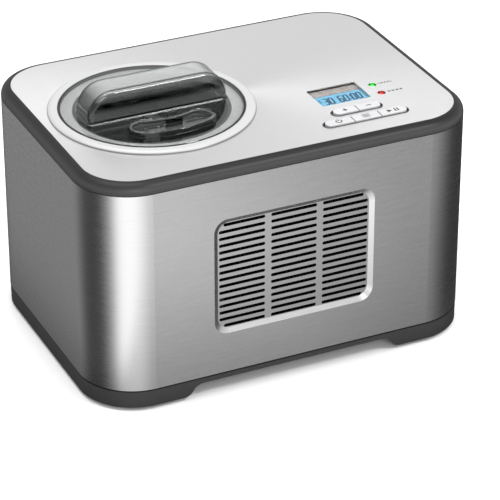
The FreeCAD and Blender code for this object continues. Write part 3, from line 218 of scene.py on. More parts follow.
# %% New objects and materials
def new_object(name, mesh):
    """An object at the origin that shows a mesh."""
    obj = bpy.data.objects.new(name, mesh)
    bpy.context.scene.collection.objects.link(obj)
    return obj


def finish_material(name, base, roughness, metallic=0.0, **sockets):
    """A material with one Principled shader, its fixed values on the shader's own sockets."""
    material = bpy.data.materials.new(name)
    material.use_nodes = True
    shader = material.node_tree.nodes["Principled BSDF"]
    shader.inputs["Base Color"].default_value = (*base, 1)
    shader.inputs["Roughness"].default_value = roughness
    shader.inputs["Metallic"].default_value = metallic
    for socket, number in sockets.items():
        shader.inputs[socket.replace("_", " ")].default_value = number
    return material, material.node_tree, shader


print("object and material helpers ready")

# %% Patterns on a piece
PATTERN_LOW = 0.3
PATTERN_HIGH = 0.7


def object_pattern(tree, scale, kind="noise", detail=4.0, roughness=0.5):
    """A noise or cell texture on Object coordinates, stretched by a Mapping node."""
    place = tree.nodes.new("ShaderNodeTexCoord")
    mapping = tree.nodes.new("ShaderNodeMapping")
    mapping.inputs["Scale"].default_value = scale
    tree.links.new(place.outputs["Object"], mapping.inputs["Vector"])
    texture = tree.nodes.new("ShaderNodeTexNoise" if kind == "noise" else "ShaderNodeTexVoronoi")
    texture.inputs["Scale"].default_value = 1.0
    if kind == "noise":
        texture.inputs["Detail"].default_value = detail
        texture.inputs["Roughness"].default_value = roughness
    tree.links.new(mapping.outputs[0], texture.inputs["Vector"])
    return texture.outputs[0]


def object_axis(tree, axis):
    """One of the piece's own coordinates, in metres."""
    spot = tree.nodes.new("ShaderNodeTexCoord")
    split = tree.nodes.new("ShaderNodeSeparateXYZ")
    tree.links.new(spot.outputs["Object"], split.inputs[0])
    return split.outputs[axis]


def range_node(tree, source, low, high, to_low, to_high):
    """Take a value from one range to another, held at both ends."""
    node = tree.nodes.new("ShaderNodeMapRange")
    for socket, number in zip(("From Min", "From Max", "To Min", "To Max"), (low, high, to_low, to_high)):
        node.inputs[socket].default_value = number
    tree.links.new(source, node.inputs["Value"])
    return node.outputs["Result"]


def height_share(tree, low, high):
    """0 at the low height and 1 at the high one."""
    return range_node(tree, object_axis(tree, "Z"), low, high, 0.0, 1.0)


print("pattern helpers ready")

# %% What a pattern does
def vary_roughness(tree, shader, pattern, low, high):
    """Roughness that wanders between two values with a pattern."""
    gloss = range_node(tree, pattern, PATTERN_LOW, PATTERN_HIGH, low, high)
    tree.links.new(gloss, shader.inputs["Roughness"])


def bump(tree, shader, height, strength, distance):
    """Small relief: the pattern is read as a height, in metres times the distance."""
    node = tree.nodes.new("ShaderNodeBump")
    node.inputs["Strength"].default_value = strength
    node.inputs["Distance"].default_value = distance
    tree.links.new(height, node.inputs["Height"])
    tree.links.new(node.outputs[0], shader.inputs["Normal"])


def tint(tree, shader, pattern, dark, light):
    """Colour that wanders between two close shades with a pattern."""
    shades = ramp_node(tree, pattern, [(PATTERN_LOW, dark), (PATTERN_HIGH, light)], colours=True)
    tree.links.new(shades, shader.inputs["Base Color"])


def shaded(base, share):
    """A colour made lighter or darker by a share, held below white."""
    return tuple(min(channel * share, 1) for channel in base)


def tinted(name, base, dark, light, size, **sockets):
    """A plain finish at roughness 0.5 whose colour wanders between two given shades."""
    material, tree, shader = finish_material(name, base, 0.5, **sockets)
    tint(tree, shader, object_pattern(tree, (size, size, size)), dark, light)
    return material


print("finish helpers ready")

# %% [markdown]
# ## Floor
# A plain pale sheet, much larger than the view. Mirror-like rays don't see it, so that the steel shows
# the room's panels alone, as it would on a small glass table with the room all round it.

# %% Floor
FLOOR_HALF = 12
FLOOR_SHADE = (0.90, 0.90, 0.90)


def square_sheet(name, half, height, material):
    """A stage sheet: four corners at plus and minus half a side, at one height."""
    mesh = bpy.data.meshes.new(name)
    corners = [(-half, -half, height), (half, -half, height), (half, half, height), (-half, half, height)]
    mesh.from_pydata(corners, [], [(0, 1, 2, 3)])
    mesh.materials.append(material)
    sheet = new_object(name, mesh)
    return sheet


paper = finish_material("floor_paper", FLOOR_SHADE, 0.8)[0]
floor = square_sheet("floor", FLOOR_HALF, 0, paper)
floor.visible_glossy = False
print("floor", 2 * FLOOR_HALF, "m wide")

# %% [markdown]
# ## Shade on the table
# Close to the machine the table lies in the machine's own shade, so the steel mirrors it darker towards
# the bottom, and darker again towards the right, away from the lamp. A thin sheet just above the floor
# stands for that shade. Only mirror-like rays meet it. It is a grey filter: near the cabinet it holds
# back more than half of the light, and further out nothing.

# %% Shade sheet
SHADE_HALF = 1.2
SHADE_HEIGHT = 0.0005
SHADE_AT_FOOT = 0.42
RISE_IN_FRONT = 1.84
RISE_AT_LEFT = 7.9
FALL_TO_RIGHT = 1.7
RIGHT_START = 1.06
RIGHT_LEAST = 0.55


def beyond(tree, edge, axis):
    """How far a spot lies past an edge on its low side, or 0 on the other."""
    past = value_node(tree, "SUBTRACT", edge, object_axis(tree, axis))
    return value_node(tree, "MAXIMUM", past, 0.0)


def shade_level(tree):
    """The foot's shade, rising with distance in front and faster at the left, times less to the right."""
    front = value_node(tree, "MULTIPLY", beyond(tree, cad_box[0][1], "Y"), RISE_IN_FRONT)
    left = value_node(tree, "MULTIPLY", beyond(tree, cad_box[0][0], "X"), RISE_AT_LEFT)
    rise = value_node(tree, "ADD", value_node(tree, "ADD", front, left), SHADE_AT_FOOT)
    near = value_node(tree, "MINIMUM", rise, 1.0)
    fall = value_node(tree, "MULTIPLY", object_axis(tree, "X"), FALL_TO_RIGHT)
    across = value_node(tree, "MINIMUM", value_node(tree, "SUBTRACT", RIGHT_START, fall), 1.0)
    return value_node(tree, "MULTIPLY", near, value_node(tree, "MAXIMUM", across, RIGHT_LEAST))


def shade_filter():
    """A see-through material whose colour is the share of light that it lets past."""
    material = bpy.data.materials.new("table_shade")
    material.use_nodes = True
    tree = material.node_tree
    tree.nodes.clear()
    clear = tree.nodes.new("ShaderNodeBsdfTransparent")
    tree.links.new(shade_level(tree), clear.inputs["Color"])
    out = tree.nodes.new("ShaderNodeOutputMaterial")
    tree.links.new(clear.outputs[0], out.inputs["Surface"])
    return material


shade = square_sheet("table_shade", SHADE_HALF, SHADE_HEIGHT, shade_filter())
for ray in ("camera", "diffuse", "transmission", "shadow", "volume_scatter"):
    setattr(shade, "visible_" + ray, False)
print("shade sheet made; share of light at the foot:", SHADE_AT_FOOT)

# %% [markdown]
# ## Brushed steel
# The wrap was brushed along its length before it was bent, so its lines run level round the cabinet. The
# deck's lines run from side to side. Both are a noise squeezed hard across the brushing direction, a few
# lines to the millimetre, which is too fine to see one by one but spreads every reflection.

# %% Brushed metal
def brushed_metal(name, base, roughness, scale, spread_by=0.05):
    """Metal with fine lines: a noise squeezed hard across the brushing direction drives shade and bump."""
    material, tree, shader = finish_material(name, base, roughness, 1.0, Anisotropic=0.5)
    lines = object_pattern(tree, scale, detail=3.0, roughness=0.7)
    tint(tree, shader, lines, shaded(base, 1 - spread_by), shaded(base, 1 + spread_by))
    vary_roughness(tree, shader, lines, roughness * 0.85, roughness * 1.15)
    bump(tree, shader, lines, 0.35, 0.00002)
    return material


steel = brushed_metal("steel_brushed", (0.60, 0.60, 0.605), 0.27, (50, 50, 2400), 0.06)
deck = brushed_metal("deck_brushed", (0.70, 0.70, 0.70), 0.36, (60, 2200, 60), 0.03)
spun = brushed_metal("spun_aluminium", (0.66, 0.67, 0.68), 0.30, (9, 9, 500))
print("brushed metals:", steel.name, deck.name, spun.name)

# %% [markdown]
# ## Moulded plastic, rubber and paint
# A mould is etched so that its plastic comes out with a fine leathery grain. A cell texture of about one
# cell to the millimetre gives that grain. Slow clouds of shade keep a large face from looking painted.

# %% Moulded plastic
def moulded(name, base, roughness, grain=0.00004, size=1500, **sockets):
    """Plastic with a fine leathery grain from a cell texture."""
    material, tree, shader = finish_material(name, base, roughness, **sockets)
    bump(tree, shader, object_pattern(tree, (size, size, size), "cells"), 0.3, grain)
    clouds = object_pattern(tree, (14, 14, 14))
    tint(tree, shader, clouds, shaded(base, 0.94), shaded(base, 1.06))
    return material


silver = moulded("silver_plastic", (0.44, 0.44, 0.445), 0.30, 0.00001)
# The bezels are nearly black: their dark grey is deepened into painted shade under the keys.
bezel_grey = moulded("bezel_plastic", (0.05, 0.05, 0.052), 0.25, 0.00001)
black_plastic = moulded("black_plastic", (0.018, 0.018, 0.020), 0.42)
# The paddle's dark grey is painted shade, so that it reads dim inside the bowl.
paddle_shade = moulded("paddle_shade_plastic", (0.035, 0.038, 0.038), 0.20, 0.00001)
rubber = moulded("black_rubber", (0.020, 0.020, 0.020), 0.75)
acetal = moulded("acetal", (0.72, 0.71, 0.66), 0.45, 0.00001)
# Condenser: black paint, made near black so that the grille's slots read as deep shade: partly painted
# shade.
matt_black_shade = moulded("matt_black_paint_and_shade", (0.006, 0.006, 0.006), 0.85, 0.00002, 900, Specular_IOR_Level=0.1)
enamel = moulded("black_enamel", (0.015, 0.015, 0.017), 0.28, 0.00003, 500, Coat_Weight=0.3)
# The foam is made dark grey so that it reads as shade through the grille's slots: painted shade.
foam = moulded("foam", (0.045, 0.045, 0.047), 0.90, 0.0006, 260)
board = moulded("board_green", (0.02, 0.16, 0.07), 0.35, 0.00002, 700)
print("moulded finishes made, from", silver.name, "to", board.name)

# %% [markdown]
# Two charcoal pieces are shaded by height. The rim that rolls over the cabinet's top edge is painted nearly
# black beside the deck and paler down its side: painted shade and a painted highlight on its rounded edge.
# The rim and the pan below both have a dark joint line where they meet the steel. The shade is a colour
# ramp over the piece's own height.

# %% Charcoal by height
def charcoal_by_height(name, low, high, stops):
    """Grained charcoal whose painted tone follows height: the stops run from the low height to the high
    one.
    """
    material, tree, shader = finish_material(name, (0.03, 0.03, 0.031), 0.40, Specular_IOR_Level=0.2)
    tree.links.new(ramp_node(tree, height_share(tree, low, high), stops), shader.inputs["Base Color"])
    bump(tree, shader, object_pattern(tree, (1500, 1500, 1500), "cells"), 0.3, 0.00003)
    return material


RIM_REACH = 0.012
# Rim stops, low to high: dark joint line at the steel, a painted highlight on the shoulder, painted shade
# by the deck.
RIM_SHADE_AND_JOINT_STOPS = [(0.0, 0.006), (0.04, 0.006), (0.08, 0.036), (0.45, 0.044), (0.75, 0.018), (0.95, 0.006)]
rim_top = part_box("top_trim")[1].z
rim = charcoal_by_height("rim_plastic", rim_top - RIM_REACH, rim_top, RIM_SHADE_AND_JOINT_STOPS)

PAN_REACH = 0.022
PAN_STOPS = [(0.0, 0.026), (0.90, 0.034), (0.93, 0.004)]
wrap_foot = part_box("steel_wrap")[0].z
pan = charcoal_by_height("pan_plastic", wrap_foot - PAN_REACH, wrap_foot, PAN_STOPS)
print("rim shaded up to", round(rim_top, 4), "m and pan up to", round(wrap_foot, 4), "m")

# %% [markdown]
# The pale ring round the bowl's mouth is shaded by distance from the bowl's axis instead. Its ledge, which
# the lid covers, is painted the palest: a painted pool of light under the clear lid. A dark hairline at its
# outer edge is the joint with the deck.

# %% Pale ring
# The ledge's stop is painted light, paler than the ring; the last stop is the dark joint with the deck.
RING_LIGHT_AND_JOINT_STOPS = [(0.0, 0.58), (0.895, 0.58), (0.905, 0.40), (0.991, 0.40), (0.998, 0.12)]


def distance_share(tree, centre, reach):
    """Distance from an upright axis, the root of dx squared plus dy squared, as a share of a reach."""
    across = value_node(tree, "SUBTRACT", object_axis(tree, "X"), centre.x)
    along = value_node(tree, "SUBTRACT", object_axis(tree, "Y"), centre.y)
    across_squared = value_node(tree, "MULTIPLY", across, across)
    along_squared = value_node(tree, "MULTIPLY", along, along)
    distance = value_node(tree, "SQRT", value_node(tree, "ADD", across_squared, along_squared))
    return value_node(tree, "DIVIDE", distance, reach)


ring_low, ring_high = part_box("bowl_collar")
ring_radius = (ring_high.x - ring_low.x) / 2
ring, ring_tree, ring_shader = finish_material("ring_plastic", (0.36, 0.36, 0.36), 0.30)
from_axis = distance_share(ring_tree, (ring_low + ring_high) / 2, ring_radius)
ring_tree.links.new(ramp_node(ring_tree, from_axis, RING_LIGHT_AND_JOINT_STOPS), ring_shader.inputs["Base Color"])
bump(ring_tree, ring_shader, object_pattern(ring_tree, (1200, 1200, 1200), "cells"), 0.2, 0.00001)
print("ring shaded over a radius of", round(ring_radius, 4), "m")

# %% [markdown]
# ## Bare metal, and the bowl's painted shade
# Inside the cabinet are copper pipes, plated sheet and ground shafts. Each has cloudy shades and an uneven
# gloss. The bowl is painted near black with a very fine tooth: painted shade for its dim inside under the
# lid.

# %% Plain metal
def plain_metal(name, base, roughness, size=60):
    """Drawn, ground or plated metal: cloudy shade and a slightly uneven gloss."""
    material, tree, shader = finish_material(name, base, roughness, 1.0)
    clouds = object_pattern(tree, (size, size, size), detail=6.0)
    tint(tree, shader, clouds, shaded(base, 0.86), shaded(base, 1.06))
    vary_roughness(tree, shader, clouds, roughness * 0.75, roughness * 1.3)
    return material


copper = plain_metal("copper", (0.72, 0.34, 0.20), 0.28)
bronze = plain_metal("bronze", (0.50, 0.34, 0.17), 0.45, 300)
zinc = plain_metal("zinc_plate", (0.56, 0.57, 0.58), 0.36, 40)
screw_metal = plain_metal("screw_metal", (0.60, 0.60, 0.61), 0.25, 200)
ground_steel = plain_metal("ground_steel", (0.55, 0.55, 0.56), 0.22, 120)
iron = plain_metal("pump_iron", (0.16, 0.16, 0.16), 0.60, 90)

# The bowl's near-black tone is painted shade for the dim inside of the bowl, seen through the lid.
bowl_shade, bowl_shade_tree, bowl_shade_shader = finish_material("bowl_painted_shade", (0.030, 0.031, 0.033), 0.40)
bump(bowl_shade_tree, bowl_shade_shader, object_pattern(bowl_shade_tree, (700, 700, 700)), 0.2, 0.00003)
clouds = object_pattern(bowl_shade_tree, (20, 20, 20))
tint(bowl_shade_tree, bowl_shade_shader, clouds, (0.024, 0.025, 0.026), (0.036, 0.037, 0.040))
print("bare and coated metals made, from", copper.name, "to", bowl_shade.name)

# %% [markdown]
# ## Clear plastic
# Clear plastic is glass to the renderer: light passes through, a little of it is tinted, and the surface
# bends and mirrors it. Seen edge on, a clear moulding looks nearly black, because light has a long way to
# go along the wall. A Layer Weight node paints that dark edge into the tint, and the painted edge also
# stands for the dark inside that a real wall bends into view: a painted reflection.

# %% Clear plastic
def clear_plastic(name, stops, wave, bend=1.49):
    """Glass whose tint goes from the first stop, seen square on, to the last, seen edge on."""
    material, tree, shader = finish_material(name, stops[0][1], 0.02, Transmission_Weight=1.0, IOR=bend)
    weight = tree.nodes.new("ShaderNodeLayerWeight")
    weight.inputs["Blend"].default_value = 0.5
    edge_tint = ramp_node(tree, weight.outputs["Facing"], stops, colours=True)
    tree.links.new(edge_tint, shader.inputs["Base Color"])
    waves = object_pattern(tree, (26, 26, 26), detail=2.0)
    bump(tree, shader, waves, 0.25, wave)
    vary_roughness(tree, shader, waves, 0.012, 0.032)
    return material, tree, shader


def darken(tree, shader, shade):
    """The tint is multiplied by a painted shade."""
    tint_now = shader.inputs["Base Color"].links[0].from_socket
    tree.links.new(mix_colour(tree, "MULTIPLY", 1.0, tint_now, shade), shader.inputs["Base Color"])


def facing_share(tree, axis):
    """0 where the surface runs along an axis and 1 where it faces along it."""
    geometry = tree.nodes.new("ShaderNodeNewGeometry")
    split = tree.nodes.new("ShaderNodeSeparateXYZ")
    tree.links.new(geometry.outputs["Normal"], split.inputs[0])
    return value_node(tree, "ABSOLUTE", split.outputs[axis])


# Edge-on tint: the dark stops are painted, standing in for the dark inside seen bent along the walls.
LID_STOPS = [
    (0.0, (0.76, 0.78, 0.77)), (0.58, (0.76, 0.78, 0.77)),
    (0.74, (0.20, 0.21, 0.205)), (0.90, (0.02, 0.02, 0.02)),
]
LID_WAVE = 0.00003
lid_clear, lid_tree, lid_shader = clear_plastic("lid_clear", LID_STOPS, LID_WAVE)
cap_clear, cap_tree, cap_shader = clear_plastic("cap_clear", LID_STOPS, LID_WAVE)
print("clear plastics made:", lid_clear.name, cap_clear.name)

# %% [markdown]
# The lid's handle is a hollow loaf. Its crown and its thicker foot pass less light, a lower Transmission
# Weight by height; on the crown this haze is a painted sheen. Three painted shades are multiplied into its
# tint. Upright walls are painted darker. The rounded root, where the handle meets the disc, is a painted
# dark line. The two long walls, looked down on along their height, are painted dark lines inside the
# crown's edges.

# %% The lid's painted haze and painted dark lines
# Haze by height; on the crown it is a painted sheen.
HAZE = [
    (0.0, 1.0), (0.12, 1.0), (0.16, 0.90), (0.38, 0.93), (0.48, 1.0),
    (0.68, 1.0), (0.80, 0.93), (0.94, 0.88), (0.99, 0.82),
]
# Upright walls: painted shade.
UPRIGHT_SHADE_STOPS = [(0.30, 0.48), (0.90, 1.0)]
# Root crease: a painted dark line.
ROOT_SHADE_LINE = [(0.05, 1.0), (0.07, 0.12), (0.14, 0.12), (0.16, 1.0)]
# Long walls seen end on: painted dark lines.
WALL_SHADE_LINE = [(0.615, 1.0), (0.645, 0.10), (0.775, 0.10), (0.80, 1.0)]
WALL_REACH = 0.020
HANDLE_START = 0.0058
HANDLE_BLEND = 0.0004
UNSHADED = (1.0, 1.0, 1.0, 1.0)

lid_low, lid_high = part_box("lid")
up_lid = height_share(lid_tree, lid_low.z, lid_high.z)
lid_tree.links.new(ramp_node(lid_tree, up_lid, HAZE), lid_shader.inputs["Transmission Weight"])
darken(lid_tree, lid_shader, ramp_node(lid_tree, facing_share(lid_tree, "Z"), UPRIGHT_SHADE_STOPS))
darken(lid_tree, lid_shader, ramp_node(lid_tree, up_lid, ROOT_SHADE_LINE))

handle_foot = lid_low.z + HANDLE_START
in_handle = height_share(lid_tree, handle_foot, handle_foot + HANDLE_BLEND)
off_middle = value_node(lid_tree, "ABSOLUTE", object_axis(lid_tree, "Y"))
across_handle = value_node(lid_tree, "DIVIDE", off_middle, WALL_REACH)
lines = ramp_node(lid_tree, across_handle, WALL_SHADE_LINE)
darken(lid_tree, lid_shader, mix_colour(lid_tree, "MIX", in_handle, UNSHADED, lines))
print("lid hazed from", round(lid_low.z, 4), "to", round(lid_high.z, 4), "m")

# %% [markdown]
# The filler cap is small, so its walls are painted dark, as an outline drawn round it. Its half-round tab
# stands up and faces the front: there the face stays clear, and only the rim, which faces up and sideways,
# is painted dark.

# %% The cap's painted dark outlines
# Painted dark outlines: the cap's walls and the tab's rim are darkened in the tint.
CAP_WALL_SHADE_STOPS = [(0.45, 0.04), (0.93, 1.0)]
TAB_RIM_SHADE_STOPS = [(0.40, 0.03), (0.80, 0.85)]
TAB_HEIGHT = 0.0094
TAB_BLEND = 0.0002

tab_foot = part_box("filler_cap")[1].z - TAB_HEIGHT
in_tab = height_share(cap_tree, tab_foot, tab_foot + TAB_BLEND)
cap_walls = ramp_node(cap_tree, facing_share(cap_tree, "Z"), CAP_WALL_SHADE_STOPS)
tab_rim = ramp_node(cap_tree, facing_share(cap_tree, "Y"), TAB_RIM_SHADE_STOPS)
darken(cap_tree, cap_shader, mix_colour(cap_tree, "MIX", in_tab, cap_walls, tab_rim))
print("tab starts at", round(tab_foot, 4), "m")

# %% [markdown]
# ## Window and lamps
# The display's window has a coating that takes most of the glare away, so it bends and mirrors light far
# less than bare plastic does. The two lamps are lenses that glow from within and are faintly ribbed.

# %% Window and lamps
WINDOW_STOPS = [(0.0, (0.97, 0.97, 0.97)), (0.75, (0.95, 0.95, 0.95)), (1.0, (0.5, 0.5, 0.5))]
WINDOW_BEND = 1.12
WINDOW_WAVE = 0.00002
window_clear = clear_plastic("window_clear", WINDOW_STOPS, WINDOW_WAVE, WINDOW_BEND)[0]


def lit_lens(name, base, glow):
    """A lamp's coloured lens, glowing from within and faintly ribbed."""
    material, tree, shader = finish_material(
        name, base, 0.15, Emission_Color=(*base, 1), Emission_Strength=glow)
    ribs = object_pattern(tree, (900, 900, 300))
    bump(tree, shader, ribs, 0.3, 0.00003)
    tint(tree, shader, ribs, shaded(base, 0.8), base)
    return material


green_lens = lit_lens("lens_green", (0.03, 0.62, 0.05), 0.9)
red_lens = lit_lens("lens_red", (0.55, 0.006, 0.012), 0.45)
print("window and lenses made:", window_clear.name, green_lens.name, red_lens.name)

# %% [markdown]
# ## Dressing the mechanical model
# A node whose shape is right only needs its finish. Each finish goes into the material slots that the
# node already has, because its mesh must stay as it came.

# %% Dress the nodes
def dress(material, *names):
    """Give CAD nodes a material, in their own material slots."""
    for name in names:
        mesh = nodes[name].data
        if not mesh.materials:
            mesh.materials.append(material)
        for i in range(len(mesh.materials)):
            mesh.materials[i] = material


BUTTONS = ("plus", "minus", "power", "menu", "start")
dress(steel, "steel_wrap")
dress(deck, "top_plate")
dress(pan, "base_pan")
dress(rim, "top_trim")
dress(ring, "bowl_collar")
dress(silver, *("button_" + name for name in BUTTONS))
dress(bezel_grey, "bezel_pair", "bezel_row")
dress(black_plastic, "gearbox_housing", "gearbox_cover", "relay_cover", "tactile_switches", "lcd_module")
dress(black_plastic, "fan_shroud", "fan_motor", "fan_rotor")
dress(paddle_shade, "paddle")
dress(rubber, "rubber_feet", "cord_gland", "shaft_seal", "compressor_grommets", "lid_seal")
dress(acetal, "drive_gear")
dress(enamel, "compressor")
dress(foam, "insulation_foam")
dress(board, "power_board", "control_pcb")
dress(copper, "evaporator_coil", "discharge_line", "liquid_line", "capillary_tube", "suction_line")
dress(copper, "filter_drier")
dress(bronze, "shaft_bush")
dress(zinc, "chassis_plate", "gearbox_posts", "fan_bracket", "board_bracket", "pcb_pillars", "mixing_motor")
dress(screw_metal, "chassis_screws", "wrap_screws", "gearbox_screws", "temperature_sensor")
dress(ground_steel, "drive_shaft", "motor_pinion", "bowl_bail")
dress(iron, "compressor_pump")
# The condenser and the foam behind the grille are dark as painted shade in the slots.
dress(matt_black_shade, "condenser")
dress(spun, "evaporator_well")
dress(bowl_shade, "bowl")
dress(lid_clear, "lid")
dress(cap_clear, "filler_cap")
dress(window_clear, "lcd_window")
dress(green_lens, "lamp_green")
dress(red_lens, "lamp_red")
for name in ("lid", "filler_cap", "lcd_window"):
    nodes[name].visible_shadow = False
print("dressed", sum(1 for o in nodes.values() if o.data.materials), "nodes")

# %% [markdown]
# ## Printed marks
# Marks on the keys and beside the lamps are flat shapes a twentieth of a millimetre thick. Each is made
# from outlines in millimetres about its own centre: a bar is two points and a width, a ring is an arc
# with a width.

# %% Outlines
def bar_outline(a, b, width):
    """Four corners of a bar from a to b: the ends moved sideways by half the width."""
    a, b = np.array(a, float), np.array(b, float)
    along = (b - a) / np.linalg.norm(b - a)
    side = np.array((-along[1], along[0])) * width / 2
    return np.array([a - side, b - side, b + side, a + side])


def arc_outline(radius, width, start, end, steps=28):
    """A curved band: an arc out at radius + width/2 and one back at radius - width/2, angles in degrees."""
    turn = np.radians(np.linspace(start, end, steps))
    arc = np.stack([np.cos(turn), np.sin(turn)], 1)
    return np.concatenate([arc * (radius + width / 2), arc[::-1] * (radius - width / 2)])


def wave_outline(length, height, waves, width, steps=90):
    """A band along y = height/2 sin(2 pi waves x / length), moved along its normal by half the width."""
    x = np.linspace(0, length, steps)
    angle = 2 * np.pi * waves * x / length
    slope = height / 2 * np.cos(angle) * 2 * np.pi * waves / length
    normal = np.stack([-slope, np.ones(steps)], 1) / np.sqrt(1 + slope ** 2)[:, None]
    line = np.stack([x, height / 2 * np.sin(angle)], 1)
    return np.concatenate([line + normal * width / 2, (line - normal * width / 2)[::-1]])


def star_outline(x, radius, width):
    """A six-armed frost star: two corners at the radius for each arm, and one at the width between arms."""
    half = math.asin(width / 2 / radius)
    points = []
    for angle in np.radians(np.arange(0, 360, 60)):
        for offset, reach in ((-half, radius), (half, radius), (math.pi / 6, width)):
            points.append((x + reach * math.cos(angle + offset), reach * math.sin(angle + offset)))
    return np.array(points)


print("outline helpers ready")

# %% Flat marks
INK_THICK = 0.05


def anticlockwise(points):
    """The outline in the order that makes its signed area, the sum of (x y' - x' y) / 2, positive."""
    points = np.asarray(points, float)
    x, y = points.T
    area = np.sum(x * np.roll(y, -1) - np.roll(x, -1) * y) / 2
    return points if area > 0 else points[::-1]


def flat_mark(name, outlines, place, material, body, thick=INK_THICK):
    """Closed outlines in millimetres, raised by a thickness and set down at a place in metres."""
    verts, faces = [], []
    first = 0
    for points in map(anticlockwise, outlines):
        count = len(points)
        for level in (0, thick):
            verts.append(np.column_stack([points, np.full(count, level)]))
        low = first + np.arange(count)
        after = np.roll(low, -1)
        faces += [tuple(low[::-1]), tuple(low + count)]
        faces += list(zip(low, after, after + count, low + count))
        first += 2 * count
    mesh = bpy.data.meshes.new(name)
    corners = np.concatenate(verts) / 1000 + np.array(place)
    mesh.from_pydata(corners.tolist(), [], [tuple(map(int, face)) for face in faces])
    mesh.materials.append(material)
    mark = new_object(name, mesh)
    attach(mark, body)
    return mark


ink = tinted("key_ink", (0.04, 0.04, 0.04), (0.03, 0.03, 0.03), (0.05, 0.05, 0.05), 900,
             Specular_IOR_Level=0.2)
print("flat marks can be made in", ink.name)

# %% Key marks
# The marks are in millimetres about each key's middle. The plus is three bars, so that no two overlap.
KEY_MARKS = {
    "plus": [
        bar_outline((-2.6, 0), (2.6, 0), 1.4),
        bar_outline((0, 0.71), (0, 2.8), 1.4),
        bar_outline((0, -2.8), (0, -0.71), 1.4),
    ],
    "minus": [bar_outline((-2.6, 0), (2.6, 0), 1.4)],
    "power": [arc_outline(3.0, 1.2, 125, 415), bar_outline((0, 0.6), (0, 4.2), 1.2)],
    "menu": [bar_outline((-4.2, y), (4.2, y), 1.1) for y in (-2.6, 0, 2.6)],
    "start": [
        np.array([(-6.4, -3.1), (-1.0, 0), (-6.4, 3.1)]),
        bar_outline((2.2, -3.0), (2.2, 3.0), 1.6),
        bar_outline((5.2, -3.0), (5.2, 3.0), 1.6),
    ],
}

for name, outlines in KEY_MARKS.items():
    low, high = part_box("button_" + name)
    flat_mark("mark_" + name, outlines, ((low.x + high.x) / 2, (low.y + high.y) / 2, high.z), ink, name)
print("key marks made:", ", ".join(KEY_MARKS))

# %% Marks beside the lamps
# A stirring wave says that the machine is mixing, and a row of frost stars says that it is cooling.
MARK_GAP = 0.003
LAMP_MARKS = {
    "green": [wave_outline(15.0, 2.4, 4, 0.75)],
    "red": [star_outline(x, 1.7, 0.8) for x in (2, 6.5, 11, 15.5)],
}

deck_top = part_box("top_plate")[1].z
for colour, outlines in LAMP_MARKS.items():
    low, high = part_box("lamp_" + colour)
    flat_mark("mark_" + colour, outlines, (high.x + MARK_GAP, (low.y + high.y) / 2, deck_top), ink, "root")
print("lamp marks made:", ", ".join(LAMP_MARKS))

# %% [markdown]
# ## The display
# Under its clear window the display is a lit sheet with a printed border at the back. The figures are
# darker than the light behind them, and are made of seven bars each, as on a real display. The sheet, the
# border and the figures lie in the thin gap between the display module and the window.

# %% Seven-bar figures
# Each bar joins two corners of a frame that is 1 wide and 2 high.
DIGIT_BARS = {
    "a": ((0, 2), (1, 2)), "b": ((1, 1), (1, 2)), "c": ((1, 0), (1, 1)), "d": ((0, 0), (1, 0)),
    "e": ((0, 0), (0, 1)), "f": ((0, 1), (0, 2)), "g": ((0, 1), (1, 1)),
}
DIGITS = {"0": "abcdef", "3": "abcdg", "6": "acdefg", "-": "g"}
SLANT = 0.12
BAR_THICK = 1.7
BAR_GAP = 0.15
COLON_HEIGHTS = (0.28, 0.72)
COLON_LONG = 1.6
COLON_THICK = 1.8
COLON_SAVES = 0.62


def bar_ends(bar, left, foot, width, height):
    """A bar's two ends, on a frame that leans to the right by the slant."""
    ends = []
    for across, up in DIGIT_BARS[bar]:
        rise = up * height / 2
        ends.append(np.array((left + across * width + SLANT * rise, foot + rise)))
    return ends


def figures(text, x, foot, width, height, pitch):
    """Seven-bar figures from left to right. A colon is two dots and takes up less room than a digit."""
    outlines = []
    for place, sign in enumerate(text):
        left = x + place * pitch
        if sign == ":":
            for share in COLON_HEIGHTS:
                rise = share * height
                dot = (left + SLANT * rise, foot + rise)
                outlines.append(bar_outline(dot, (dot[0] + COLON_LONG, dot[1]), COLON_THICK))
            x -= pitch * COLON_SAVES
            continue
        for bar in DIGITS[sign]:
            start, end = bar_ends(bar, left, foot, width, height)
            gap = BAR_GAP * (end - start) / np.linalg.norm(end - start)
            outlines.append(bar_outline(start + gap, end - gap, BAR_THICK))
    return outlines


FIGURES_FOOT = -5.6
FIGURES_HIGH = 13.0
readout = figures("-", -24.6, FIGURES_FOOT, 2.8, FIGURES_HIGH, 6.0)
readout += figures("30", -19.4, FIGURES_FOOT, 4.0, FIGURES_HIGH, 6.0)
readout += figures("60:00", -2.8, FIGURES_FOOT, 4.0, FIGURES_HIGH, 6.1)
readout.append(np.array([(-24.0, 4.2), (-20.8, 4.2), (-22.2, 7.4)]))
print("readout has", len(readout), "shapes")

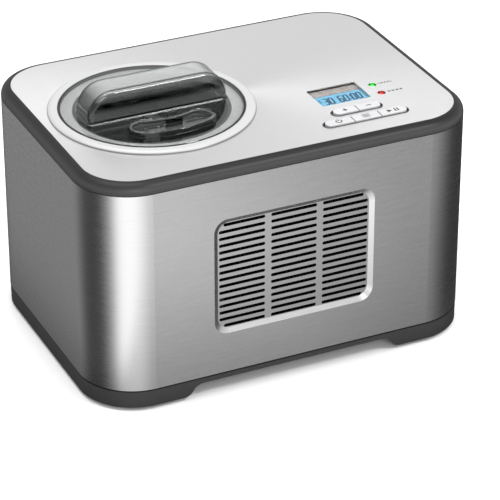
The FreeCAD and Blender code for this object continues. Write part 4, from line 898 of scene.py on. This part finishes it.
# %% Lit sheet, border and figures
BORDER_MM = 13.0
SHEET_GAP = 0.00004
SHEET_THICK = 0.04
FIGURES_GAP = 0.00005


def sheet_outline(width, height, radius, steps=7):
    """A rectangle with round corners: four quarter circles joined by straight edges."""
    turn = np.radians(np.linspace(0, 90, steps))
    parts = []
    for quarter, (x, y) in enumerate(((1, 1), (-1, 1), (-1, -1), (1, -1))):
        angle = turn + quarter * math.pi / 2
        across = x * (width / 2 - radius) + radius * np.cos(angle)
        along = y * (height / 2 - radius) + radius * np.sin(angle)
        parts.append(np.stack([across, along], 1))
    return np.concatenate(parts)


window_low, window_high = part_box("lcd_window")
window_x = (window_low.x + window_high.x) / 2
window_width = (window_high.x - window_low.x) * 1000
lit_height = (window_high.y - window_low.y) * 1000 - BORDER_MM
lit_y = window_low.y + lit_height / 2000
border_y = window_high.y - BORDER_MM / 2000
sheet_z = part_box("lcd_module")[1].z + SHEET_GAP

glow = tinted("display_light", (0.04, 0.12, 0.20), (0.035, 0.11, 0.19), (0.05, 0.14, 0.22), 60,
              Emission_Color=(0.30, 0.85, 1.0, 1), Emission_Strength=0.28, Specular_IOR_Level=0.1)
border_ink = tinted("display_border", (0.155, 0.142, 0.135), (0.13, 0.12, 0.115), (0.18, 0.165, 0.155), 200,
                    Specular_IOR_Level=0.1)
figure_ink = tinted("figure_ink", (0.004, 0.012, 0.03), (0.003, 0.010, 0.025), (0.006, 0.016, 0.04), 900,
                    Specular_IOR_Level=0.1)

lit = [sheet_outline(window_width - 1, lit_height - 0.4, 1.2)]
border = [sheet_outline(window_width - 1, BORDER_MM - 0.6, 0.8)]
flat_mark("display_light", lit, (window_x, lit_y, sheet_z), glow, "root", SHEET_THICK)
flat_mark("display_border", border, (window_x, border_y, sheet_z), border_ink, "root", SHEET_THICK)
figures_place = (window_x, lit_y, sheet_z + FIGURES_GAP)
flat_mark("display_figures", readout, figures_place, figure_ink, "root", SHEET_THICK)
print("display is", round(window_width, 1), "mm wide and lit over", round(lit_height, 1), "mm")
